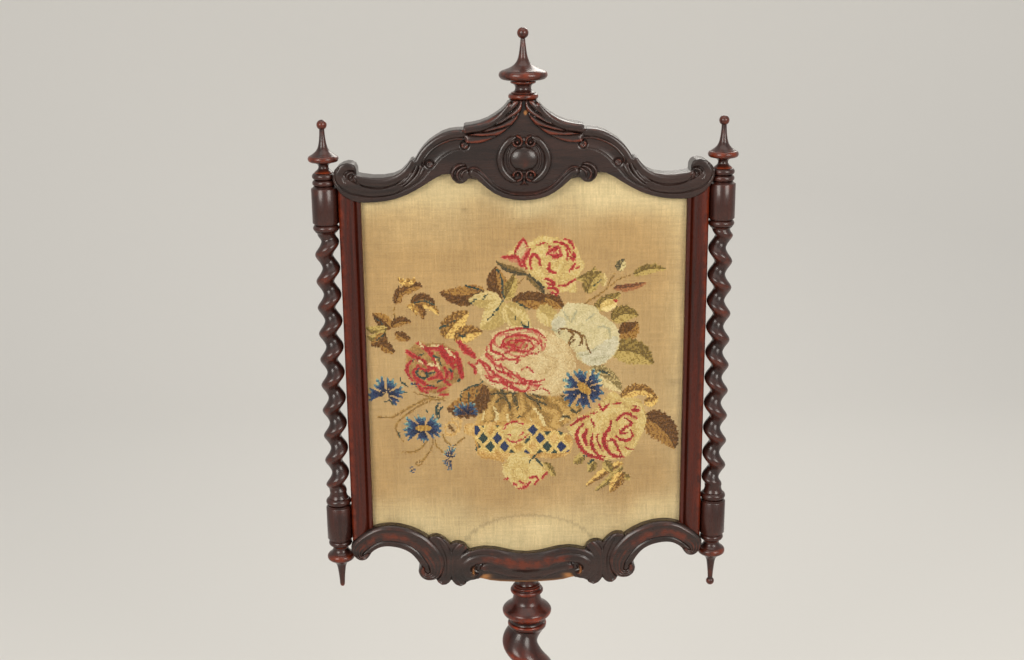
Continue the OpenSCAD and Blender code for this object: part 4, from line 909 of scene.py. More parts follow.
outer, inner = (throughPoints(scrollBand[edge], scrollBand["along"]) for edge in ("outer", "inner"))
w = np.linspace(0, 1, scrollBand["across"])
width = np.hypot(*(outer - inner).T)[:, None]
height = (np.repeat(bandRelief(w)[None, :], len(outer), 0) - edgeFall((1 - w) * width, 1.8, 1.6)
          - edgeFall(w * width, 1.6, 1.4) * (width > 20))
step = np.linspace(0, len(scrollBand["outer"]) - 1, len(outer))[:, None]
winding = (np.clip((13.0 - step) / 3, 0, 1) * np.clip((step - 2) / 2, 0, 1)
           + np.clip((step - 18.0) / 2, 0, 1) * np.clip((24.5 - step) / 2, 0, 1))
# the face splits where it winds into an eye
for cut in scrollBand["flutes"]:
    height -= 0.9 * winding * np.exp(-((w - cut) / 0.035) ** 2)
faceRub = 0.72 * np.exp(-((w - 0.52) / 0.2) ** 2)[None, :] * (1 - 0.6 * winding)
wear = np.clip(wearFrom(height, 3, 5, 1.5) + faceRub, -1, 1)
px, pz = bandGrid(w)
backX, backZ = bandGrid(np.linspace(0, 1, scrollBand["backRows"]))
backY = backDepth(backX, backZ, rail["cope"]) + 0.05
band = slab(np.stack([px, frameDepth["front"] - height, pz], -1), np.stack([backX, backY, backZ], -1))
bandWear = frontOnly(wear, band[0])
verts, faces = joined([(railVerts, railFaces), band, mirrored(*band)])
makePiece("railCarving", verts, faces, "screen", carvedMahogany, ["bottom_rail"],
          {"wear": np.concatenate([railWear, bandWear, bandWear]),
           "bare": np.concatenate([railBare, np.zeros(2 * len(bandWear))])}, weld=0, capped=True)
print("bottom rail carved")

# stiles: a moulding carried up from the scroll to the crest: rounded face, quirk and a small bead beside the
# glass
stile = {"inner": 225.0, "width": 31.0, "rebate": 6.5, "side": -9.0, "face": -16.2, "bead": 3.2,
         "faceHalf": 11.9,
         "rub": ([-1, -0.9, -0.2, 0.3, 0.7, 1], [-0.5, 0.1, 0, 0.3, 0.85, 0.7])}
t = np.linspace(-1, 1, 34)
roundFace = (stile["side"] + (stile["face"] - stile["side"]) * (1 - np.abs(t) ** 2.6) ** 0.55
             - 1.6 * (t < -0.98))
face = np.stack([stile["width"] - stile["faceHalf"] * (1 - t), roundFace], 1)
a = np.radians(np.linspace(180, 25, 14))
strip = np.stack([stile["bead"] * (1 + np.cos(a)), -10.8 - stile["bead"] * np.sin(a)], 1)
lip, back = frameDepth["lip"], frameDepth["back"]
section = np.vstack([[(0, lip)], strip, [(6.7, -11.2)], face,
                     [(stile["width"], back), (stile["rebate"], back), (stile["rebate"], lip)]])
# colour across the section: a little redder on the bead, dark in the quirk, and across the face darker beside
# the quirk and redder toward the outer edge
rubbed = np.concatenate([[0], 0.12 * np.sin(np.radians(np.linspace(0, 180, 14))), [-0.6],
                         np.interp(t, *stile["rub"]), [0, 0, 0]])
px = stile["inner"] + section[:, 0]
crown, scroll = np.array(crest["low"]), outer[(outer[:, 1] > 68) & (outer[:, 0] > 190)]
high = crest["z"] + crest["scale"][1] * np.interp(px / crest["scale"][0], *crown.T) - 0.15
low = rail["z"] + np.interp(px / rail["scale"][0], *scroll.T) + 0.15
verts = np.concatenate([np.stack([px, section[:, 1], z], 1) for z in (low, high)], 0)
faces = gridFaces(2, len(px), wrap=True)[:, ::-1]
for name, (points, quads) in (("right", (verts, faces)), ("left", mirrored(verts, faces))):
    makePiece(name + "Stile", points, quads, "screen", stileMahogany, [name + "_stile"],
              {"wear": np.tile(rubbed, 2)}, sharp=30, capped=True)
print("stiles moulded")

# legs: a rounded-rectangle section carried down an S between two edges, sunk along its cheeks, with a scroll
# for a foot
leg = {"thick": 16.0, "ankle": 13.0, "footR": 25.0, "footWide": 19.0, "footX": 225.0, "footZ": 27.0,
       "sink": 1.7,
       "turn": 7.6, "pad": [[0, 0], [11.4, 0], [12, 0.6], [12, 4], [0, 4]],
       "top": ((32.05, 238), (78, 238), (110, 220), (132.5, 160), (150, 100), (175, 62.5), (219, 51)),
       "low": ((32.05, 168), (70, 170), (92.5, 139.4), (110, 105.8), (135, 60.5), (165, 12), (219, 3))}


def twoBows(points, t):
    # two cubic bows end to end: first to the knee, then to the foot
    p = np.array(points, float)
    k = np.clip((t * 2).astype(int), 0, 1)
    s = (t * 2 - k)[:, None]
    a, b, c, d = (p[3 * k + i] for i in range(4))
    return a * (1 - s) ** 3 + 3 * b * s * (1 - s) ** 2 + 3 * c * s * s * (1 - s) + d * s ** 3


def legBody(rows=150, around=96):
    # the section's corners are rounded by the power 0.42 of sine and cosine; its middle and height follow the
    # bows
    t = np.linspace(0, 1, rows)
    up, down = twoBows(leg["top"], t), twoBows(leg["low"], t)
    mid, arm = (up + down) / 2, (up - down) / 2
    thick = leg["thick"] + (leg["ankle"] - leg["thick"]) * np.sin(np.pi * np.clip((t - 0.25) / 0.75, 0, 1))
    a = np.linspace(0, 2 * np.pi, around, endpoint=False)
    h, w = (np.sign(c) * np.abs(c) ** 0.42 for c in (np.cos(a), np.sin(a)))
    inset = np.clip((0.66 - np.abs(h)) / 0.10, 0, 1) * (np.abs(w) > 0.8)
    inset = inset[None, :] * (np.clip((t - 0.06) / 0.04, 0, 1) * np.clip((0.9 - t) / 0.05, 0, 1))[:, None]
    y = w[None, :] * thick[:, None] - np.sign(w)[None, :] * leg["sink"] * eased(inset)
    rz = mid[:, None, :] + arm[:, None, :] * h[None, :, None]
    ends = [np.tile([m[0], 0, m[1]], (1, around, 1)) for m in (mid[0], mid[-1])]
    grid = np.concatenate([ends[0], np.stack([rz[..., 0], y, rz[..., 1]], -1), ends[1]], 0)
    wear = np.pad(np.clip(np.abs(np.cos(a)) ** 4 * 0.9 - 0.9 * inset, -1, 1), ((1, 1), (0, 0)))
    return grid.reshape(-1, 3), gridFaces(len(grid), around, wrap=True), wear.ravel()


def legFoot(around=90, rings=60):
    # a short turned roll lying across the leg, with a scroll line cut in both its ends
    r, w = leg["footR"], leg["footWide"]
    side = r * np.linspace(0, 1, rings)[:-6]
    front, rear = (np.stack([side, np.full_like(side, y)], 1) for y in (-w, w))
    ring = profileOf(front, [[r - 1.8, -w + 0.2], [r - 0.5, -w + 1.2], [r, -w + 3]],
                     [[r, w - 3], [r - 0.5, w - 1.2], [r - 1.8, w - 0.2]], rear[::-1])
    out, depth = ring[:, :1], ring[:, 1:]
    a = np.linspace(0, 2 * np.pi, around, endpoint=False)
    line = (out - r * 0.92) / leg["turn"] + a / (2 * np.pi)
    cut = 1.5 * np.exp(-((line - np.rint(line)) / 0.16) ** 2) * (out > 5) * (out < r - 2.2)
    grid = np.stack([leg["footX"] + out * np.cos(a), depth - np.sign(depth) * cut,
                     leg["footZ"] + out * np.sin(a)], -1)
    return (grid.reshape(-1, 3), gridFaces(len(ring), around, wrap=True),
            np.where(cut > 0.2, -0.6, 0.25).ravel())


legParts = [legBody(), legFoot(), lathe(profileOf(leg["pad"]), 40, leg["footX"])]
verts, faces = joined([part[:2] for part in legParts])
wear = np.concatenate([part[2] for part in legParts])
for name, angle in (("Front", -90), ("Right", 30), ("Left", 150)):
    c, s = math.cos(math.radians(angle)), math.sin(math.radians(angle))
    turned = np.stack([verts[:, 0] * c - verts[:, 1] * s, verts[:, 0] * s + verts[:, 1] * c, verts[:, 2]], 1)
    makePiece("leg" + name, turned, faces, "stand", legMahogany, ["leg_" + name.lower()],
              {"wear": wear})
print("legs carved")


# needlework: wool stitches on a fine tan canvas. The bouquet's outlines and lines are given in pixels of the
# photograph, u to the right and v downward. A pixel is 1.43 mm at the middle of the panel, and the formulas
# for u and v hold the lean and perspective of the camera fitted to the photograph
cloth = {"cell": 1.70, "half": 230.6, "low": 635.4, "top": 1212.6, "lowFlat": 94.0, "lowCorner": 679.0,
         "topFlat": 99.0, "topCorner": 1183.0, "y": -4.15, "rise": 0.55, "middle": (525.04, 355),
         "middleZ": 943}
nx = int(2 * cloth["half"] / cloth["cell"])
nz = int((cloth["top"] - cloth["low"]) / cloth["cell"])
cellX, cellZ = 2 * cloth["half"] / nx, (cloth["top"] - cloth["low"]) / nz
gx, gz = np.meshgrid((np.arange(nx) + 0.5) * cellX - cloth["half"],
                     (np.arange(nz) + 0.5) * cellZ + cloth["low"],
                     indexing="ij")
gx, gz = gx.ravel(), gz.ravel()
up = gz - cloth["middleZ"]
u = cloth["middle"][0] + 0.70156 * gx - 0.00483 * up + 0.0000947 * gx * up
v = cloth["middle"][1] - 0.67357 * up - 0.000091 * up * up - 0.01025 * gx
dice = np.random.RandomState(11)
speck = dice.rand(u.size)
rough = speck[::-1]          # the same specks in another order, for edges


def drift(size):
    # soft random field: values on a coarse lattice, blended between its points
    a = dice.rand(int(nx / size) + 3, int(nz / size) + 3)
    i, j = np.arange(nx) / size, np.arange(nz) / size
    ii, jj = i.astype(int), j.astype(int)
    s, t = eased(i - ii)[:, None], eased(j - jj)[None, :]
    return (a[ii][:, jj] * (1 - s) * (1 - t) + a[ii + 1][:, jj] * s * (1 - t)
            + a[ii][:, jj + 1] * (1 - s) * t + a[ii + 1][:, jj + 1] * s * t).ravel()


def slubs(threadCount, length, size):
    # threads that are lighter or darker over a few stitches at a time
    return np.repeat(dice.rand(threadCount, length // size + 1), size, 1)[:, :length] - 0.5


wools = {"brown": ("#523416", "#744c22", "#9e7438"), "gold": ("#6f4b22", "#aa8040", "#d8b468"),
         "olive": ("#6a5428", "#937a3e", "#b89e5c"), "sage": ("#a98f54", "#bda365", "#ccb57e"),
         "dark": ("#3c382a", "#5c4a2a", "#7c6236"), "rust": ("#5f3a24", "#85502f", "#a06a42"),
         "feather": ("#7d693f", "#b7a06c", "#d2be8c"), "cream": ("#c0a05c", "#d6bb78", "#e2cb90"),
         "bud": ("#4f4632", "#8a774a", "#cdba84"), "tan": ("#80602f", "#a07b40", "#bd9858"),
         "rose": ("#b08f55", "#c3a768", "#cfb87f"), "blush": ("#b39768", "#c4aa7c", "#d0bb90"),
         "earth": ("#866236", "#9c7744", "#ad8852"), "white": ("#b9a97c", "#c7b78c", "#d0c29a"),
         "pale": ("#b0a78a", "#bfb598", "#cac1a6"), "pink": ("#a84e44", "#b87058", "#c29474"),
         "red": ("#861e20", "#a42c2c", "#b8524a"), "green": ("#1f2c2a", "#2a3936", "#34453e"),
         "ochre": ("#a1763a", "#b98e4c", "#cca86c"), "eye": ("#8f6626", "#a87e36", "#bb964c"),
         "grey": ("#8f8a6c", "#a09978", "#b0a888"), "umber": ("#5a3d1c", "#6d4b24", "#86622f"),
         "stem": ("#6f5127", "#8b6834", "#a48046")}
blues = np.array([linear(c)[:3] for c in ("#171d34", "#222d50", "#2e4666", "#50747f", "#8fa894")])
ground, bleached = np.array(linear("#b59363")[:3]), np.array(linear("#dcc698")[:3])

# canvas: paler bands along the top, the foot and the right, uneven threads, a tide mark of old damp and a few
# stains
dip = 12 * np.exp(-((u - 525) / 24) ** 2) + 16 * (drift(24) - 0.5)
fade = 1 / (1 + np.exp((v - 209 - dip) / 6)) + 0.9 / (1 + np.exp((510 - v + dip) / 8))
fade = fade + 0.5 * np.exp(-((u - 690) / 18) ** 2)
fade = np.clip(fade + 0.35 * (drift(36) - 0.45), 0, 1)[:, None]
tone = (0.93 + 0.14 * drift(40)) * (0.95 + 0.10 * drift(12))
tone = tone * (1 + 0.12 * slubs(nx, nz, 9).ravel() + 0.10 * slubs(nz, nx, 12).T.ravel())
tone = tone * np.repeat(1 + 0.05 * (dice.rand(nx) - 0.5), nz) * np.tile(1 + 0.05 * (dice.rand(nz) - 0.5), nx)
tone = tone * (1 + 0.10 * (speck - 0.5))
tide = np.abs(np.hypot((u - 530) / 66, (v - 549) / 34) - 1 + 0.018 * np.sin(0.9 * u)
              + 0.014 * np.sin(2.3 * u + 1))
tone = tone * (1 - 0.24 * np.exp(-(tide / 0.032) ** 2) * (v < 541))
stains = ((464, 209.5, 3.0, 0.30), (436, 226, 3.5, 0.16), (513.5, 218.5, 1.4, 0.4), (674, 382, 6, 0.22),
          (371, 268, 2.4, 0.14), (385, 229, 4, 0.10), (468, 262, 2, 0.10), (391, 521, 11, 0.09),
          (420, 527, 8, 0.10))
for su, sv, size, depth in stains:
    tone = tone * (1 - depth * np.exp(-((u - su) / size) ** 2 - ((v - sv) / (0.55 * size)) ** 2))
paint = (ground * (1 - fade) + bleached * fade) * tone[:, None]
worked = np.zeros(u.size)


def lay(sel, wool, shade):
    # stitches: each picks one of three shades of the wool, with a little unevenness
    three = np.array([linear(c)[:3] for c in wools[wool]])
    k = np.clip(np.rint(shade + 1.5 * (speck[sel] - 0.5)), 0, 2).astype(int)
    paint[sel] = three[k] * (0.92 + 0.16 * rough[sel])[:, None]
    worked[sel] = 1


def sideways(line):
    # distance to a curve with its sign (left of the way is positive), and the place along it
    sel = np.flatnonzero(near(line, 26, u, v))
    d, t = nearest(line, u[sel], v[sel])
    i = np.minimum((t * (len(line) - 1)).astype(int), len(line) - 2)
    a, b = line[i], line[i + 1]
    sign = np.sign((b[:, 0] - a[:, 0]) * (v[sel] - a[:, 1]) - (b[:, 1] - a[:, 1]) * (u[sel] - a[:, 0]))
    return sel, d * sign, t


def strokes(items, wool, shade=1.0, widen=1.0):
    # lines of stitches, each a width and its points: half-width follows a sine along the curve, shade darkens
    # inward
    for width, *points in items:
        sel, d, t = sideways(smoothLine(points, 40))
        w = widen * width * (0.44 + 0.36 * np.sin(np.pi * np.clip(t, 0.08, 0.92)))
        on = np.abs(d) < w + 1.3 * (rough[sel] - 0.55)
        lay(sel[on], wool, shade + 0.9 * (np.abs(d[on]) / w[on] - 0.4))


def leaf(base, tip, half, bend, wool):
    # leaf blade: half-width follows a sine along the bent midrib, with toothed edges and slanting streaks
    base, tip = np.array(base), np.array(tip)
    long = np.hypot(*(tip - base))
    side = np.array([tip[1] - base[1], base[0] - tip[0]]) / long
    rib = [base, base * 0.68 + tip * 0.32 + side * bend * 0.85, base * 0.34 + tip * 0.66 + side * bend * 0.9,
           tip]
    sel, d, t = sideways(smoothLine(rib, 40))
    w = 1.04 * half * np.sin(np.pi * np.clip(t, 0.02, 1) ** 0.74) ** 0.72 + 0.5
    if half > 4:
        w = w * (1 + 0.07 * np.sin(2 * np.pi * (half * 0.6 + 2) * t))
    on = (np.abs(d) < w + 1.2 * (rough[sel] - 0.5)) & (t > 0) & (t < 1)
    streak = np.sin(np.abs(d) * 1.1 - t * long * 0.9 + 5 * soft[sel])
    shade = 1.0 + 0.45 * streak + 0.75 * np.sign(d) * (half > 2.5) - 1.4 * (np.abs(d) < 0.6) * (half > 4)
    lay(sel[on], wool, shade[on])


def whorl(cu, cv, ru, rv, layers, turn, names):
    # heart of a rose: crescents of three wools winding round the middle, broken by a soft random drift
    e, a = np.hypot((u - cu) / ru, (v - cv) / rv), np.arctan2((v - cv) / rv, (u - cu) / ru)
    on = np.flatnonzero(e < 1 + 0.10 * np.sin(5 * a))
    p = np.sin(2 * np.pi * (layers * e[on] + 0.28 * np.sin(3 * a[on] + turn) + 0.5 * soft[on]))
    for name, lo, hi in zip(names, (0.35, -0.25, -2), (2, 0.35, -0.25)):
        lay(on[(p >= lo) & (p < hi)], name, 1.0)


def patch(outline, wool, shade=1.0, curl=0.5):
    # closed shape filled with long-and-short stitches: a stitch is inside where a line to its right crosses
    # the outline an odd number of times
    ring = smoothLine(list(outline) + [outline[0]], 120)
    sel = np.flatnonzero(near(ring, 1, u, v))
    a, b = ring[:-1], ring[1:]
    pu, pv = (u[sel] + 1.4 * (speck[sel] - 0.5))[:, None], (v[sel] + 1.4 * (rough[sel] - 0.5))[:, None]
    reach = a[:, 0] + (b[:, 0] - a[:, 0]) * (pv - a[:, 1]) / (b[:, 1] - a[:, 1] + 1e-9)
    cross = ((a[:, 1] > pv) != (b[:, 1] > pv)) & (pu < reach)
    inside = sel[cross.sum(1) % 2 == 1]
    mid = ring.mean(0)
    r = np.hypot(u[inside] - mid[0], v[inside] - mid[1])
    lay(inside, wool, shade + curl * np.sin(r * 0.35 + 5 * soft[inside]))
    return inside


def cornflower(cu, cv, rays, reach, eye=None, spread=(0, 360)):
    # ragged forked florets from the middle outward, navy at the heart and pale blue at the tips
    for k in range(rays):
        a = math.radians(spread[0] + (spread[1] - spread[0]) * (k + 0.3 * (k % 2)) / rays)
        long = 0.82 + 0.3 * ((k * 37 % 11) / 11)
        du, dv = math.cos(a) * reach[0] * long, -math.sin(a) * reach[1] * long
        lit = 0.9 if math.sin(a) > 0.2 else 0.0
        for fork in (-0.16, 0.16):
            end = (cu + du - dv * fork, cv + dv + du * fork)
            sel, d, t = sideways(np.array([(cu + 0.12 * du, cv + 0.12 * dv), (cu + 0.55 * du, cv + 0.55 * dv),
                                           end]))
            on = np.abs(d) < (0.4 + 3.4 * t * (1.15 - t)) * reach[0] / 18 + rough[sel] - 0.4
            sel, t = sel[on], t[on]
            blue = np.clip(
                np.rint(3.2 * t ** 1.4 - 0.7 + lit * t + 1.6 * (speck[sel] - 0.5)), 0, 4).astype(int)
            paint[sel] = blues[blue]
            worked[sel] = 1
    if eye:
        long, wide, c, s = eye
        along, across = (u - cu) * c + (v - cv) * s, (v - cv) * c - (u - cu) * s
        on = np.flatnonzero((along / long) ** 2 + (across / wide) ** 2 < 1)
        lay(on, "eye", 1.0 + 0.5 * np.sin(u[on] * 1.7))


soft = drift(7)
# outlines of the flowers, and lines of stitches, each a width and its points, all in pixels; a leaf has its
# base, tip, half-width, bend and wool
shapes = {
    "topRose": [
        (502.5, 258), (512, 249), (522.5, 239), (530, 243.5), (538, 236), (548.5, 236), (548, 236.5),
        (560, 238.5), (569.5, 240.5), (576.5, 247.5), (579.5, 256.5), (584.5, 265.5), (578.5, 274.5),
        (575.5, 282), (576, 292), (565, 291), (554, 294), (545, 287), (535.5, 279), (525, 268.5), (516, 263)],
    "topRosePink": [
        (502.5, 258), (513, 254), (517, 246), (523, 239.5), (526.5, 247.5), (529, 251.5), (523.5, 258),
        (523, 267), (516, 263)],
    "midRose": [
        (489.5, 334), (493.5, 343), (486.5, 348.5), (477, 363), (479, 374.5), (489.5, 385), (502.5, 389.5),
        (520, 392.5), (525.5, 392.5), (551, 396), (564, 391), (571.5, 377), (576, 365.5), (571.5, 351.5),
        (564, 340), (559, 337.5), (544.5, 330.5), (525, 326), (505.5, 328.5)],
    "leftRose": [
        (406.5, 351.5), (417, 342), (428.5, 343), (442.5, 344), (456, 351.5), (462.5, 365.5), (464, 377),
        (458, 382), (449.5, 386.5), (446.5, 394.5), (435, 393), (420, 391.5), (414, 382), (407.5, 372.5),
        (405.5, 363)],
    "lowRose": [
        (566.5, 428), (576.5, 418), (594.5, 409), (607, 395), (615, 391), (621, 397.5), (630, 398),
        (640.5, 400), (645.5, 411.5), (646.5, 419), (644, 429.5), (639, 439.5), (632.5, 451), (623.5, 458),
        (612, 459.5), (599.5, 459.5), (586.5, 453.5), (576.5, 442), (571.5, 434.5)],
    "bottomBud": [
        (502.5, 465), (513, 453.5), (523, 451.5), (532, 458.5), (542, 462.5), (547, 472.5), (538.5, 481.5),
        (528, 486.5), (519, 489), (510, 481.5), (504, 475)],
    "dahlia": [
        (550, 323), (555, 315), (562, 309), (566.5, 303), (576.5, 303), (586.5, 304), (596.5, 307),
        (600.5, 314), (608.5, 319), (614, 323.5), (619, 333.5), (618.5, 347.5), (609.5, 359), (599.5, 365),
        (588, 365), (578, 359), (572.5, 347.5), (560, 341.5), (555, 333.5)],
    "tanMass": [
        (479, 389.5), (487.5, 387.5), (502.5, 390.5), (520, 391.5), (513, 391), (532, 392.5), (553.5, 396),
        (569, 400), (581.5, 407.5), (576.5, 416.5), (561, 426.5), (551, 432), (538.5, 428), (525.5, 419),
        (513, 420), (495, 423), (476, 424), (479, 413.5), (479, 401)],
    "basket": [
        (466.5, 424), (464.5, 432.5), (474, 438), (477, 453.5), (492, 457), (506.5, 459), (507.5, 461),
        (525.5, 460), (541, 457.5), (556, 458.5), (570, 452), (571.5, 437), (553.5, 429.5), (538.5, 424),
        (523, 418), (510.5, 421), (492, 422)],
    "dahliaFoot": [
        (577, 352), (590, 350), (606, 340), (617, 336), (616, 350), (606, 361), (596, 365), (586, 364)],
    "dahliaEdge": [
        (551, 323), (560, 316), (566, 322), (560, 330), (553, 330)],
    "midRosePetals": [
        (476, 362), (488, 352), (500, 362), (512, 372), (530, 380), (547, 378), (530, 392), (505, 389),
        (486, 379)],
    "topRoseFold": [
        (513, 256), (518, 249), (523, 243), (526, 249), (522, 256), (518, 260)]}
